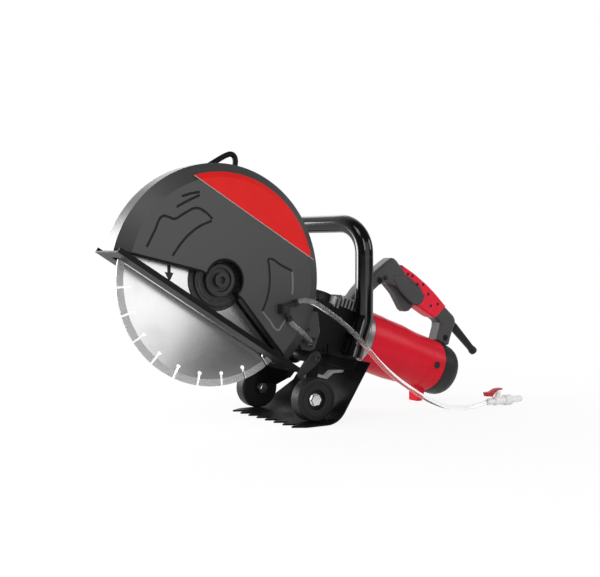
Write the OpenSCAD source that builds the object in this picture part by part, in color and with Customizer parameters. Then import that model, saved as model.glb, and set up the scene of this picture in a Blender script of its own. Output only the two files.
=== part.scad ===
// Concrete cut-off saw: an electric hand saw with a 355 mm diamond blade, a half drum guard, a sloping
// base shoe, guide wheels with a splash flap, a wet-cut hose and a rear D handle. Millimetres, +Z up,
// +X towards the rear handle. The origin is on the floor, under the wheel axle, in the plane of the blade.

/* [Blade] */
// Diameter of the diamond blade
blade_d = 355; // [340:1:360]
// Thickness of the steel core
core_t = 2.4; // [2:0.1:3]
// Thickness of the diamond segments
segment_t = 3.2; // [2.8:0.1:4]
// Height of the diamond segments
segment_h = 12; // [8:0.5:14]
// Number of segments, and of the keyhole slots between them
segments = 24; // [18:1:28]
// Width of a keyhole slot
slot_w = 3.5; // [2.5:0.1:4.5]
// Depth of a keyhole slot from the rim
slot_depth = 21; // [18:0.5:24]
// Hole at the end of a keyhole slot
slot_hole_d = 6.5; // [5:0.1:8]
// Arbor hole
arbor_d = 25.4; // [24:0.1:26]
// Turn of the first slot at rest, in degrees
slot_phase = 183.1; // [180:0.1:195]

/* [Stance] */
// Height of the blade centre above the floor
hub_height = 246; // [244:0.5:250]
// Distance of the blade centre ahead of the wheel axle
hub_ahead = 155; // [153:0.5:157]
// Slope of the shoe, down to the rear, in degrees
shoe_tilt = 32.2; // [31.5:0.1:33]
// Distance of the shoe's underside below the blade centre
shoe_drop = 64; // [63:0.5:66]
// Slope of the motor, down to the rear, in degrees
motor_tilt = 20; // [19.8:0.1:20.2]
// Offset of the motor axis behind the blade plane
motor_y = 50; // [49:0.5:51]
// Offset of the motor axis above the blade centre, square to its slope
motor_rise = 3; // [2:0.5:4]

/* [Flanges and bolt] */
// Diameter of the two clamping flanges
flange_d = 104; // [90:1:110]
// Thickness of the outer flange
outer_flange_t = 8; // [6:0.5:9]
// Thickness of the inner flange
inner_flange_t = 12; // [10:0.5:13]
// Diameter of the thick washer
washer_d = 56; // [50:1:62]
// Thickness of the thick washer
washer_t = 9; // [8:0.5:10]
// Diameter of the recess for the bolt head
recess_d = 38; // [32:1:42]
// Thickness left under the bolt head
recess_floor = 4; // [3:0.5:5]
// Diameter of the bolt's thread
bolt_d = 16; // [12:0.5:18]
// Diameter of the bolt's head
bolt_head_d = 24; // [20:1:28]
// Height of the bolt's head
bolt_head_h = 8; // [6:0.5:9]
// Hexagon socket in the bolt's head, across flats
socket_af = 12; // [8:0.5:14]

/* [Guard] */
// Distance of the guard's outside from the blade's rim
guard_room = 15.5; // [13:0.5:18]
// Sheet thickness of the guard
guard_t = 2.5; // [2:0.1:3]
// Near face of the guard, in front of the blade
guard_near = 30; // [28:0.5:32]
// Far face of the guard, behind the blade
guard_far = 22; // [21.5:0.1:22.5]
// Width of the bevel round the near face
bevel_w = 24; // [16:1:26]
// Depth of that bevel
bevel_h = 16; // [12:1:18]
// Radius of the cut-out round the blade bolt
hub_cut_r = 33; // [30:0.5:36]
// Thickness of the coloured panel on the near face
panel_t = 0.8; // [0.4:0.1:1.2]
// Distance of that panel's round edge from the guard's outside
panel_rim = 15; // [10:0.5:19]
// Distance of the panel's straight edge from the blade centre
panel_chord = 118; // [110:1:125]
// Direction of the panel, in degrees above the rear
panel_turn = 59.3; // [55:0.1:65]
// Rod of the lifting loop
loop_d = 9.5; // [8:0.5:10]

/* [Shoe] */
// Half width of the shoe
shoe_half = 47; // [46:0.5:48]
// Sheet thickness of the shoe
shoe_t = 3; // [2.5:0.5:3.5]
// Length of plate ahead of the slot for the blade
shoe_nose = 16.5; // [14:0.5:20]
// Length of plate behind that slot
shoe_tail = 24.5; // [20:0.5:26]
// Height of the folded side rails
rail_h = 9; // [7:0.5:11]
// Half width of the slot for the blade
shoe_slot_half = 11; // [9:0.5:14]
// Room between the blade's rim and the ends of that slot
shoe_slot_room = 5; // [4:0.5:8]

/* [Gears] */
// Module of the first, straight pair of gears
spur_module = 1.2; // [1.1:0.05:1.3]
// Teeth on the motor pinion
motor_teeth = 11; // [10:1:12]
// Teeth on the reduction gear
reduction_teeth = 38; // [36:1:40]
// Width of the reduction gear
spur_w = 14; // [10:1:16]
// Module of the bevel pair
bevel_module = 2.75; // [2.6:0.05:2.8]
// Teeth on the bevel pinion
pinion_teeth = 17; // [16:1:18]
// Teeth on the bevel gear
bevel_teeth = 24; // [23:1:25]
// Width of the bevel teeth along the cone
bevel_face = 13; // [10:0.5:14]
// Slack between the teeth
backlash = 0.5; // [0.4:0.05:0.7]

/* [Gear housing] */
// Outer radius of the round boss at the spindle
boss_r = 46; // [44:0.5:48]
// Outer radius of the neck round the pinion shaft
neck_r = 32; // [31:0.5:34]
// Near side of the gear housing
housing_near = 7; // [6:0.5:8]
// Far side of the gear housing
housing_far = 112; // [111:0.5:116]
// Wall of the gear housing
housing_t = 6; // [5:0.5:7]
// Front of the gear housing, along the motor's slope
housing_s0 = 205; // [203:1:208]
// Rear face of the gear housing, where the motor is bolted
housing_s1 = 328; // [327:1:331]
// Top of the gear housing above the blade centre, square to the slope
housing_top = 56; // [54:0.5:58]
// Bottom of the gear housing below the blade centre, square to the slope
housing_low = 50; // [49:0.5:51]
// Cooling fins on the top
fins = 7; // [5:1:7]
// Diameter of the round filler cap
filler_d = 40; // [34:1:42]
// Height of the round filler cap
filler_h = 20; // [14:1:24]

/* [Motor] */
// Radius of the motor housing at the front
motor_r = 56; // [55:0.5:57]
// Radius of the motor housing at the rear
motor_tail_r = 52; // [51:0.5:53]
// Wall of the motor housing
motor_t = 5; // [4:0.5:6]
// Thickness of the bare metal ring at the front
ring_t = 17; // [14:0.5:19]
// Rear end of the motor housing, along its slope
motor_s1 = 532; // [530:1:534]
// Depth of the rear cap
cap_h = 41; // [38:1:44]
// Radius of the rear cap's end
cap_end_r = 48; // [45:0.5:50]
// Radius of the armature's iron core
armature_r = 28; // [26:0.5:28.5]
// Air gap round the armature
air_gap = 1; // [0.6:0.1:1.4]
// Radius of the commutator
commutator_r = 17; // [15:0.5:18]
// Radius of the fan
fan_r = 44; // [40:0.5:46]
// Blades on the fan
fan_blades = 11; // [7:1:13]

/* [Front handle] */
// Diameter of the front handle's tube
tube_d = 33; // [31:0.1:34]
// Wall of that tube
tube_t = 2; // [1.5:0.1:3]
// Height of the grip bar's middle above the floor
bar_z = 345; // [340:1:350]
// Length of the grip bar between the middles of its legs
bar_len = 205; // [200:1:215]
// Bend radius of the tube
bend_r = 55; // [52:1:58]
// Turn of the grip bar forward from square, in degrees
bar_turn = 15; // [13:0.5:16]

/* [Rear handle] */
// Half width of the handle
handle_half = 17; // [15.5:0.5:18]
// Half width of the trigger
trigger_half = 8; // [7:0.5:9]
// Thickness of the soft grip
grip_t = 2.5; // [2:0.1:3]
// Diameter of the lock button
button_d = 9; // [8:0.5:10]
// Travel of the lock button
button_travel = 3; // [2:0.5:4]
// Length of the cord's bend sleeve
sleeve_len = 91; // [80:1:96]

/* [Wheels] */
// Diameter of the guide wheels
wheel_d = 75; // [72:0.5:76]
// Width of the guide wheels
wheel_w = 28; // [24:0.5:30]
// Distance between the middles of the wheels
wheel_track = 190; // [188:1:194]
// Middle between the two wheels
wheel_mid = 37; // [36:0.5:38]
// Diameter of the wheel bolts
axle_d = 10; // [9:0.5:12]
// Thickness of the wheel arms
arm_t = 4; // [3:0.5:5]
// Thickness of the splash flap
flap_t = 3; // [2.5:0.1:3.5]
// Width of the splash flap
flap_w = 230; // [222:1:236]
// Teeth along the flap's front edge
flap_teeth = 8; // [6:1:10]
// Length of those teeth
flap_tooth = 22; // [16:1:26]

/* [Water] */
// Outer diameter of the clear hose
hose_d = 9; // [8:0.5:10]
// Diameter of the inlet nipple on the quick coupler
inlet_d = 15.8; // [15:0.1:17]
// Length of that nipple
inlet_len = 16; // [12:1:18]

/* [Hidden] */
$fn = 64;
// Overshoot of a cut past the face that it opens
eps = 1;
// Gap between faces that pass each other, and running clearance of a shaft in its hole
gap = 0.4;
run = 0.05;
// Thread radius of the small screws, and the depth that they reach into the piece they hold
screw_r = 2.5;
screw_grip = 6;

blade_r = blade_d / 2;
guard_r = blade_r + guard_room;
panel_r = guard_r - panel_rim;
core_r = blade_r - segment_h;
flange_r = flange_d / 2;
core_y = core_t / 2;
washer_y = -core_y - outer_flange_t;
washer_face = washer_y - washer_t;
collar_y = core_y + inner_flange_t;

// Spindle bearings, front 25 x 52 x 15 and rear 15 x 32 x 9, each as [bore radius, outer radius, width]
front_bearing = [12.5, 26, 15];
rear_bearing = [7.5, 16, 9];
// Bearings of the pinion shaft and of the armature
pinion_bearing = [10, 23.5, 14];
small_bearing = [7.5, 17.5, 11];
tail_bearing = [5, 15, 9];

// First pair: the reduction gear lies beside the motor pinion
spur_distance = spur_module * (motor_teeth + reduction_teeth) / 2;
drive_y = motor_y + sqrt(pow(spur_distance, 2) - pow(motor_rise, 2));
spur_turn = atan2(-motor_rise, drive_y - motor_y);
// Bevel pair: both cones meet where the pinion's axis crosses the spindle
pinion_r = bevel_module * pinion_teeth / 2;
bevel_r = bevel_module * bevel_teeth / 2;
cone_len = norm([pinion_r, bevel_r]);
bevel_shrink = 1 - bevel_face / cone_len;
bevel_plane = drive_y - pinion_r;
bevel_hub = 8;

// Stations along the spindle
bearing_y0 = guard_far + 8;
bearing_y1 = bearing_y0 + front_bearing[2];
cover_y = 106;
rear_y1 = cover_y - 3;
rear_y0 = rear_y1 - rear_bearing[2];

// Stations along the motor's slope, counted from the spindle
pinion_s0 = bevel_r + 12;
spur_s0 = housing_s1 - 45;
small_s0 = housing_s1 - 23;
motor_bearing_s0 = housing_s1 - small_bearing[2];
cavity_s1 = housing_s1 - 27;
cap_s1 = motor_s1 + cap_h;
motor_s0 = housing_s1 + ring_t;
core_s0 = motor_s0 + 41;
core_s1 = motor_s1 - 50;
brush_s = motor_s1 - 21;
tail_s0 = motor_s1 + 13;
stator_r = motor_tail_r - motor_t;

// Wheels and arms
near_y = wheel_mid - wheel_track / 2;
far_y = wheel_mid + wheel_track / 2;
axle_z = flap_t + gap + wheel_d / 2;
pivot = [14, 111];
cross_r = 10;
arm_face = wheel_track / 2 - wheel_w / 2 - gap;
flap_mid = 22;

// Side outline of the rear handle, in the upright plane of the motor
handle_outer = [[135, 197], [150, 208], [168, 229], [205, 257], [239, 280], [247, 282], [255, 278],
  [264, 267.5], [274, 263], [298, 249.5], [327, 229.5], [348, 212.5], [362, 199.5], [374, 188], [391, 174],
  [403.5, 163], [407, 152], [400, 138], [393, 120], [388, 103]];
handle_inner = [[357, 116], [359, 126], [367, 150], [361, 158], [336, 171], [305, 189], [234, 238],
  [207, 226], [183, 199], [177, 183]];
grip_outline = [[276, 275], [305, 259], [331, 240], [362, 216], [382, 192], [372, 183], [347, 160],
  [342, 152], [300, 176], [300, 186], [317, 196], [321, 206], [309, 224], [290, 238], [273, 249], [266, 260]];
trigger_outline = [[231, 236], [255, 212], [274, 182], [281, 177], [290, 178], [300, 186], [296, 200],
  [242, 245], [234, 244]];
trigger_pivot = [239, 238];
handle_screw_points = [[212, 239], [377, 122]];
button_point = [226, 243];
sleeve_point = [404, 150];
sleeve_turn = 43.7;

// Route of the free hose, from the tee on the guard to the valve on the floor
hose_route = [[-23, -37, 205], [-11.5, -38.2, 208.4], [1, -40.3, 208.2], [13, -42.6, 204.6],
  [26, -45, 197.3], [42, -47.4, 187.2], [66, -49.2, 170.8], [96, -50, 146.5], [122, -52, 119],
  [146, -56, 93.5], [173, -62, 68.8], [201, -69, 47.8], [228, -76, 29.8], [250, -82, 18],
  [274, -87.5, 9.4], [300, -91.5, 5], [325, -93.5, 5], [350, -93.5, 7], [374, -92, 10]];
spray_route = [[-35, -37, 180], [-30, -37, 172], [-20, -38, 163], [-8, -36, 155], [3, -31, 148],
  [14, -24, 141], [23, -16, 135], [28, -9, 131]];
hose_sides = 10;
tee_point = [-45, 196];
valve_point = hose_route[len(hose_route) - 1];

// Places on the assembly: the blade centre, the sloping shoe, the gear housing and the motor
module at_hub() translate([-hub_ahead, 0, hub_height]) children();
module on_shoe() at_hub() rotate([0, shoe_tilt, 0]) translate([0, 0, -shoe_drop]) children();
module on_gears() at_hub() rotate([0, motor_tilt, 0]) children();
module on_drive() on_gears() translate([0, drive_y, 0]) children();
module on_motor() on_gears() translate([0, motor_y, motor_rise]) children();

// Round bars and rings along one axis, and side outlines given a thickness across the saw
module bar_x(r, x0, x1) translate([x0, 0, 0]) rotate([0, 90, 0]) cylinder(r = r, h = x1 - x0);
module bar_y(r, y0, y1) translate([0, y0, 0]) rotate([-90, 0, 0]) cylinder(r = r, h = y1 - y0);
module ring_x(r, bore, x0, x1) {
  difference() {
    bar_x(r, x0, x1);
    bar_x(bore, x0 - eps, x1 + eps);
  }
}
module ring_y(r, bore, y0, y1) {
  difference() {
    bar_y(r, y0, y1);
    bar_y(bore, y0 - eps, y1 + eps);
  }
}
module slab(y0, y1) translate([0, y1, 0]) rotate([90, 0, 0]) linear_extrude(y1 - y0) children();
module box(low, high) translate(low) cube(high - low);
module at_xz(p) translate([p[0], 0, p[1]]) children();

// Straight rod from one point to another
module rod(p, q, r) {
  d = q - p;
  translate(p) rotate([0, acos(d[2] / norm(d)), atan2(d[1], d[0])]) cylinder(r = r, h = norm(d));
}
// Hose swept along a route: one ring of points square to the route at each of its points
function unit(v) = v / norm(v);
function heading(p, i) = unit(p[min(i + 1, len(p) - 1)] - p[max(i - 1, 0)]);
function hose_ring(p, i, r, n) = let (t = heading(p, i), u = unit(cross(t, [0, 1, 0])), v = cross(t, u))
  [for (k = [0 : n - 1]) p[i] + r * (cos(k * 360 / n) * u + sin(k * 360 / n) * v)];
module hose(p, r, n) {
  last = len(p) - 1;
  sides = [for (i = [0 : last - 1], k = [0 : n - 1])
    [i * n + k, i * n + (k + 1) % n, (i + 1) * n + (k + 1) % n, (i + 1) * n + k]];
  ends = [[for (k = [n - 1 : -1 : 0]) k], [for (k = [0 : n - 1]) last * n + k]];
  polyhedron([for (i = [0 : last]) each hose_ring(p, i, r, n)], concat(sides, ends));
}

// Straight gear outline with flat tooth sides at the pressure angle
pressure = 20;
// Corners of a tooth, as heights from the pitch line in modules, and the side that each is on
tooth_corners = [[-1.2, -1], [0, -1], [0.85, -1], [0.85, 1], [0, 1], [-1.2, 1]];
// Half the width of a tooth at height h: a straight flank less the curve that a rolling flank has
function half_width(m, r, h) = (PI * m - backlash) / 4 - h * tan(pressure)
  - h * h / (2 * r * sin(pressure) * pow(cos(pressure), 3));
function tooth_points(m, z) = [for (i = [0 : z - 1], e = tooth_corners) let (h = e[0] * m, r = m * z / 2 + h,
  a = i * 360 / z + e[1] * half_width(m, m * z / 2, h) / r * 180 / PI) [r * cos(a), r * sin(a)]];

// Bevel gear with its cone point at the origin and its axis along +Z: tooth sections at the wide end
// and the same sections drawn in towards the cone point
function bevel_section(m, z, mate, f) = let (d = atan2(z, mate), r = m * z / 2, far = m * mate / 2)
  [for (i = [0 : z - 1], e = tooth_corners) let (h = e[0] * m, rr = r + h * cos(d),
      a = i * 360 / z + e[1] * half_width(m, r / cos(d), h) / rr * 180 / PI)
    f * [rr * cos(a), rr * sin(a), far - h * sin(d)]];
module bevel_teeth_solid(m, z, mate) {
  n = 6 * z;
  points = concat(bevel_section(m, z, mate, 1), bevel_section(m, z, mate, bevel_shrink));
  sides = [for (k = [0 : n - 1]) [k, (k + 1) % n, n + (k + 1) % n, n + k]];
  wide_teeth = [for (k = [0 : 6 : n - 1], f = [[5, 4, 1, 0], [4, 3, 2, 1]]) [for (j = f) k + j]];
  narrow_teeth = [for (k = [n : 6 : 2 * n - 1], f = [[0, 1, 4, 5], [1, 2, 3, 4]]) [for (j = f) k + j]];
  wide_core = [for (k = [n - 6 : -6 : 0]) each [k + 5, k]];
  narrow_core = [for (k = [n : 6 : 2 * n - 1]) each [k, k + 5]];
  polyhedron(points, concat(sides, wide_teeth, narrow_teeth, [wide_core, narrow_core]));
}

// Diamond blade: slotted core and its welded segments
module blade_slots() {
  for (i = [0 : segments - 1]) rotate(slot_phase + i * 360 / segments) {
    translate([blade_r - slot_depth, 0]) circle(d = slot_hole_d);
    translate([blade_r - slot_depth, -slot_w / 2]) square([slot_depth + eps, slot_w]);
  }
}
module blade_core() color("silver") at_hub() slab(-core_y, core_y) difference() {
  circle(r = core_r, $fn = 128);
  circle(d = arbor_d);
  blade_slots();
}
module blade_segments() color("lightgray") at_hub() slab(-segment_t / 2, segment_t / 2) difference() {
  circle(r = blade_r, $fn = 128);
  circle(r = core_r, $fn = 128);
  blade_slots();
}

// Flanges, washer and bolt that clamp the blade on the spindle
module outer_flange() color("dimgray") at_hub() difference() {
  union() {
    bar_y(flange_r, washer_y / 2, -core_y);
    bar_y(flange_r - 8, washer_y, washer_y / 2);
  }
  bar_y(arbor_d / 2, washer_y - eps, 0);
}
module inner_flange() color("dimgray") at_hub() ring_y(flange_r, arbor_d / 2, core_y, collar_y);
module flange_washer() color("dimgray") at_hub() difference() {
  bar_y(washer_d / 2, washer_face, washer_y);
  bar_y(recess_d / 2, washer_face - eps, washer_y - recess_floor);
  bar_y(bolt_d / 2, washer_face - eps, washer_y + eps);
}
module flange_bolt() color("gray") at_hub() {
  seat = washer_y - recess_floor;
  difference() {
    bar_y(bolt_head_d / 2, seat - bolt_head_h, seat);
    translate([0, seat - bolt_head_h - eps, 0]) rotate([-90, 0, 0])
      cylinder(d = socket_af / cos(30), h = bolt_head_h - 2 + eps, $fn = 6);
  }
  bar_y(bolt_d / 2, seat, collar_y);
}
module spindle() color("gray") at_hub() difference() {
  union() {
    bar_y(arbor_d / 2, washer_y, collar_y);
    bar_y(arbor_d / 2 + 5, collar_y, collar_y + 3);
    bar_y(front_bearing[0], collar_y + 3, bearing_y1);
    bar_y(front_bearing[0] - 0.5, bearing_y1, bevel_plane + 8);
    bar_y(rear_bearing[0] + 2, bevel_plane + 8, rear_y0 - 1);
    bar_y(rear_bearing[0], rear_y0 - 1, rear_y1);
  }
  bar_y(bolt_d / 2, washer_y - eps, collar_y + 2);
}
module bevel_gear() color("darkgray") at_hub() difference() {
  union() {
    translate([0, drive_y, 0]) rotate([90, 0, 0]) rotate(-motor_tilt) bevel_teeth_solid(bevel_module,
      bevel_teeth, pinion_teeth);
    bar_y(bevel_r - 6, bevel_plane - bevel_hub, bevel_plane);
  }
  bar_y(front_bearing[0] - 0.5, bevel_plane - bevel_hub - eps, drive_y);
}
module spindle_bearings() color("silver") at_hub() {
  ring_y(front_bearing[1], front_bearing[0] + run, bearing_y0, bearing_y1);
  ring_y(rear_bearing[1], rear_bearing[0] + run, rear_y0, rear_y1);
}
module bearing_retainer() color("dimgray") at_hub()
  ring_y(boss_r - 16, front_bearing[0] + gap, collar_y + 3 + gap, guard_far);

// Gear housing: round spindle boss, neck for the pinion shaft, and the finned body that takes the motor
body_mid = (housing_near + housing_far) / 2;
step_s = housing_s0 + 55;
fin_pitch = 8;
fin_h = 5;
module housing_body() {
  box([housing_s0, housing_near, -housing_low], [step_s, housing_far, housing_top - 18]);
  box([step_s, housing_near, -housing_low], [housing_s1, housing_far, housing_top]);
  translate([0, motor_y, motor_rise]) bar_x(motor_r, housing_s1 - 5, housing_s1);
  for (i = [0 : fins - 1]) translate([step_s + i * fin_pitch, 0, 0])
    box([0, housing_near + 8, housing_top], [3, housing_far - 8, housing_top + fin_h]);
}
module housing_hollow() {
  t = housing_t;
  box([housing_s0 + t, housing_near + t, t - housing_low], [step_s, housing_far - t, housing_top - 18 - t]);
  box([step_s - eps, housing_near + t, t - housing_low], [cavity_s1, housing_far - t, housing_top - t]);
}
// Lugs under the body that hold the cross tube of the wheel bracket
lug_y = [housing_near + 12, housing_far - 20];
module hanger_lugs() {
  for (y = lug_y) slab(y, y + 8) hull() {
    translate(pivot) circle(r = 16, $fn = 32);
    translate([30, 136]) circle(r = 10, $fn = 32);
    translate([58, 126]) circle(r = 10, $fn = 32);
  }
}
module gear_housing() color([0.09, 0.09, 0.1]) difference() {
  union() {
    at_hub() bar_y(boss_r, guard_far, cover_y);
    on_drive() bar_x(neck_r, 0, housing_s0 + housing_t);
    on_gears() housing_body();
    on_gears() handle_pads();
    hanger_lugs();
    guard_lugs();
  }
  at_hub() {
    bar_y(boss_r - 8, bearing_y1, cover_y + eps);
    bar_y(boss_r + gap, cover_y, cover_y + 40);
    bar_y(front_bearing[1], bearing_y0, bearing_y1 + eps);
    bar_y(front_bearing[1] - 6, guard_far - eps, bearing_y0 + eps);
  }
  on_gears() housing_hollow();
  on_drive() {
    bar_x(pinion_r + 4, 0, pinion_s0 + eps);
    bar_x(pinion_bearing[1], pinion_s0, pinion_s0 + pinion_bearing[2]);
    bar_x(pinion_bearing[0] + 6, pinion_s0, housing_s0 + housing_t + eps);
    bar_x(small_bearing[1], cavity_s1 - eps, small_s0 + small_bearing[2]);
  }
  on_motor() {
    bar_x(small_bearing[1], motor_bearing_s0, housing_s1 + eps);
    bar_x(small_bearing[0] + 2, cavity_s1 - eps, motor_bearing_s0 + eps);
  }
  filler_cap_bore();
  at_xz(pivot) bar_y(cross_r, bracket_y[0], housing_far + eps);
  at_hub() guard_screw_places() bar_y(screw_r, 0, guard_t + screw_grip);
  at_hub() cover_screw_places() bar_y(screw_r, -screw_grip, eps);
  for (p = bracket_screw_points) at_xz(p) bar_y(screw_r, bracket_y[1] - eps, bracket_y[1] + screw_grip);
}
module filler_cap_place() on_gears() translate([(housing_s0 + step_s) / 2 + 6, motor_y - 2, housing_top - 18])
  children();
module filler_cap_bore() filler_cap_place() translate([0, 0, -housing_t - eps])
  cylinder(d = filler_d - 14, h = housing_t + 2 * eps);
module filler_cap() color([0.1, 0.1, 0.1]) filler_cap_place() {
  cylinder(d = filler_d, h = filler_h);
  translate([0, 0, -housing_t]) cylinder(d = filler_d - 14, h = housing_t);
}
module gear_cover() color([0.12, 0.12, 0.13]) at_hub() difference() {
  union() {
    bar_y(boss_r, cover_y, cover_y + 6);
    bar_y(rear_bearing[1] + 4, rear_y0, cover_y);
  }
  bar_y(rear_bearing[1], rear_y0 - eps, rear_y1);
  cover_screw_places() bar_y(screw_r, -eps, 12);
}
module cover_screw_places() {
  for (a = [45 : 90 : 315]) rotate([0, a, 0]) translate([boss_r - 4, cover_y, 0]) children();
}
module cover_screws() color("gray") at_hub() cover_screw_places() {
  bar_y(4, 6, 9);
  bar_y(screw_r, -screw_grip, 6);
}

// Drive train: bevel pinion shaft, reduction gear, and their bearings
module pinion_shaft() color("darkgray") on_drive() {
  rotate([0, 90, 0]) rotate(180 / pinion_teeth - 90) bevel_teeth_solid(bevel_module, pinion_teeth, bevel_teeth);
  bar_x(pinion_bearing[0], bevel_r - eps, spur_s0 - 2);
  bar_x(pinion_bearing[0] - 2, spur_s0 - 2, spur_s0 + spur_w);
  bar_x(small_bearing[0], spur_s0 + spur_w, small_s0 + small_bearing[2]);
}
module reduction_gear() color("darkgray") on_drive() translate([spur_s0, 0, 0]) difference() {
  rotate([90, 0, 90]) linear_extrude(spur_w) rotate(180 + spur_turn)
    polygon(tooth_points(spur_module, reduction_teeth));
  bar_x(pinion_bearing[0] - 2, -eps, spur_w + eps);
}
module pinion_bearings() color("silver") on_drive() {
  ring_x(pinion_bearing[1], pinion_bearing[0] + run, pinion_s0, pinion_s0 + pinion_bearing[2]);
  ring_x(small_bearing[1], small_bearing[0] + run, small_s0, small_s0 + small_bearing[2]);
}

// Motor: armature, fan, field, brushes and casings
module armature_shaft() color("darkgray") on_motor() {
  translate([spur_s0 - 1, 0, 0]) rotate([90, 0, 90]) linear_extrude(spur_w + 2)
    rotate(spur_turn + 180 / motor_teeth) polygon(tooth_points(spur_module, motor_teeth));
  bar_x(small_bearing[0] - 2.5, spur_s0 + spur_w + 1, motor_bearing_s0);
  bar_x(small_bearing[0], motor_bearing_s0, motor_s0 + 3);
  bar_x(small_bearing[0] + 1, motor_s0 + 3, motor_s1 - 32);
  bar_x(small_bearing[0] - 0.5, motor_s1 - 32, tail_s0 - 4);
  bar_x(tail_bearing[0], tail_s0 - 4, tail_s0 + tail_bearing[2]);
}
module armature_core() color("dimgray") on_motor()
  ring_x(armature_r, small_bearing[0] + 1, core_s0 + 3, core_s1 - 3);
module commutator() color("peru") on_motor()
  ring_x(commutator_r, small_bearing[0] - 0.5, motor_s1 - 32, motor_s1 - 10);
module cooling_fan() color("darkslategray") on_motor() difference() {
  union() {
    bar_x(fan_r, motor_s0 + 3, motor_s0 + 6);
    bar_x(small_bearing[0] + 6, motor_s0 + 3, motor_s0 + 17);
    for (i = [0 : fan_blades - 1]) rotate([i * 360 / fan_blades, 0, 0])
      box([motor_s0 + 3, -1, small_bearing[0] + 4], [motor_s0 + 15, 1, fan_r - 1]);
  }
  bar_x(small_bearing[0] + 1, motor_s0 + 2, motor_s0 + 20);
}
module armature_bearings() color("silver") on_motor() {
  ring_x(small_bearing[1], small_bearing[0] + run, motor_bearing_s0, housing_s1);
  ring_x(tail_bearing[1], tail_bearing[0] + run, tail_s0, tail_s0 + tail_bearing[2]);
}
module stator_core() color("slategray") on_motor() ring_x(stator_r, armature_r + air_gap, core_s0, core_s1);
module field_coils() color("chocolate") on_motor() {
  ring_x(stator_r - 3, armature_r + 4, core_s0 - 12, core_s0);
  ring_x(stator_r - 3, armature_r + 4, core_s1, core_s1 + 12);
}
module front_ring() color("silver") on_motor() ring_x(motor_r, motor_r - 8, housing_s1, motor_s0);

motor_profile = [[motor_s0, motor_r - motor_t], [motor_s0, motor_r - 1], [motor_s0 + 1, motor_r],
  [motor_s0 + 90, motor_r], [motor_s0 + 125, motor_tail_r], [motor_s1, motor_tail_r], [motor_s1, stator_r],
  [core_s0 - 14, stator_r], [core_s0 - 16, motor_r - motor_t]];
foot_x = [309, 337];
foot_half = 13;
module brush_places() {
  for (side = [0, 180]) translate([brush_s, 0, 0]) rotate([side, 0, 0]) children();
}
module motor_housing() color([0.8, 0.05, 0.08]) difference() {
  union() {
    on_motor() rotate([0, 90, 0]) rotate_extrude($fn = 96) polygon([for (p = motor_profile) [p[1], p[0]]]);
    on_motor() ring_x(stator_r + eps, tail_bearing[1], motor_s1 - 5, motor_s1);
    on_motor() ring_x(tail_bearing[1] + 4, tail_bearing[1], motor_s1 - 5, tail_s0 + tail_bearing[2]);
    difference() {
      box([foot_x[0], motor_y - foot_half, 0], [foot_x[1], motor_y + foot_half, 60]);
      on_motor() bar_x(motor_tail_r - 1, motor_s0, cap_s1);
      on_motor() bar_x(motor_tail_r + 30, motor_s1, cap_s1 + 20);
    }
  }
  on_motor() brush_places() bar_y(7, 0, motor_r + eps);
  on_motor() for (a = [30 : 60 : 330]) rotate([a, 0, 0]) translate([0, 0, 33])
    bar_x(7, motor_s1 - 8, motor_s1 + 2);
}
cap_profile = [[motor_tail_r, motor_s1], [motor_tail_r - 0.5, cap_s1 - 14], [cap_end_r + 1, cap_s1 - 4],
  [cap_end_r - 4, cap_s1]];
module rear_cap() color([0.12, 0.12, 0.13]) on_motor() rotate([0, 90, 0]) rotate_extrude($fn = 96)
  polygon(concat(cap_profile, [[0, cap_s1], [0, cap_s1 - 3], [cap_end_r - 6, cap_s1 - 3],
    [motor_tail_r - 4, cap_s1 - 14], [motor_tail_r - 3, motor_s1]]));
module brush_holders() color("goldenrod") on_motor() brush_places()
  ring_y(7, 5, commutator_r + 3, stator_r + 1);
module carbon_brushes() color([0.2, 0.2, 0.2]) on_motor() brush_places()
  bar_y(5, commutator_r + gap, commutator_r + 18);
module brush_caps() color([0.1, 0.1, 0.1]) on_motor() brush_places() bar_y(7, stator_r + 1, motor_tail_r + 1);

// Rear D handle: two halves, soft grip, switch, trigger, lock button, screws and the cord's bend sleeve
module handle_side() polygon(concat(handle_outer, handle_inner));
module handle_bulk(y0, y1) difference() {
  slab(y0, y1) handle_side();
  on_motor() bar_x(motor_r, housing_s1 - 15, motor_s0 + 90);
  on_motor() rotate([0, 90, 0]) rotate_extrude() polygon(concat([[0, motor_s1 - 60],
    [motor_tail_r, motor_s1 - 60]], cap_profile, [[0, cap_s1]]));
  on_gears() box([housing_s0, 0, 0], [housing_s1, housing_far, housing_top]);
  on_gears() box([housing_s0, 0, 0], [step_s + fins * fin_pitch, housing_far, housing_top + fin_h]);
  handle_pockets();
  soft_grip_solid();
  sleeve_solid();
}
switch_turn = 36;
switch_place = [312, 211];
module on_switch() translate([switch_place[0], motor_y, switch_place[1]]) rotate([0, switch_turn, 0])
  children();
module switch_block(c) box([-24 - c, -10 - c, -9 - c], [24 + c, 10 + c, 9 + c]);
module handle_pockets() {
  slab(motor_y - slot_half, motor_y + slot_half)
    polygon([[222, 233], [236, 256], [252, 250], [306, 206], [312, 196], [304, 180], [230, 228]]);
  on_switch() switch_block(0);
  at_xz(button_point) bar_y(button_d / 2 + run, motor_y - handle_half - eps, motor_y);
  for (p = handle_screw_points) at_xz(p) {
    bar_y(4, motor_y - handle_half - eps, motor_y - handle_half + 4);
    bar_y(2, motor_y - handle_half, motor_y + 10);
  }
}
module soft_grip_solid() intersection() {
  slab(motor_y - handle_half, motor_y + handle_half) intersection() {
    polygon(grip_outline);
    handle_side();
  }
  difference() {
    slab(motor_y - handle_half, motor_y + handle_half) polygon(grip_outline);
    slab(motor_y - handle_half + grip_t, motor_y + handle_half - grip_t)
      translate([-grip_t * sin(switch_turn), -grip_t * cos(switch_turn)]) handle_side();
  }
}
pin_r = 2.5;
slot_half = trigger_half + gap;
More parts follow.
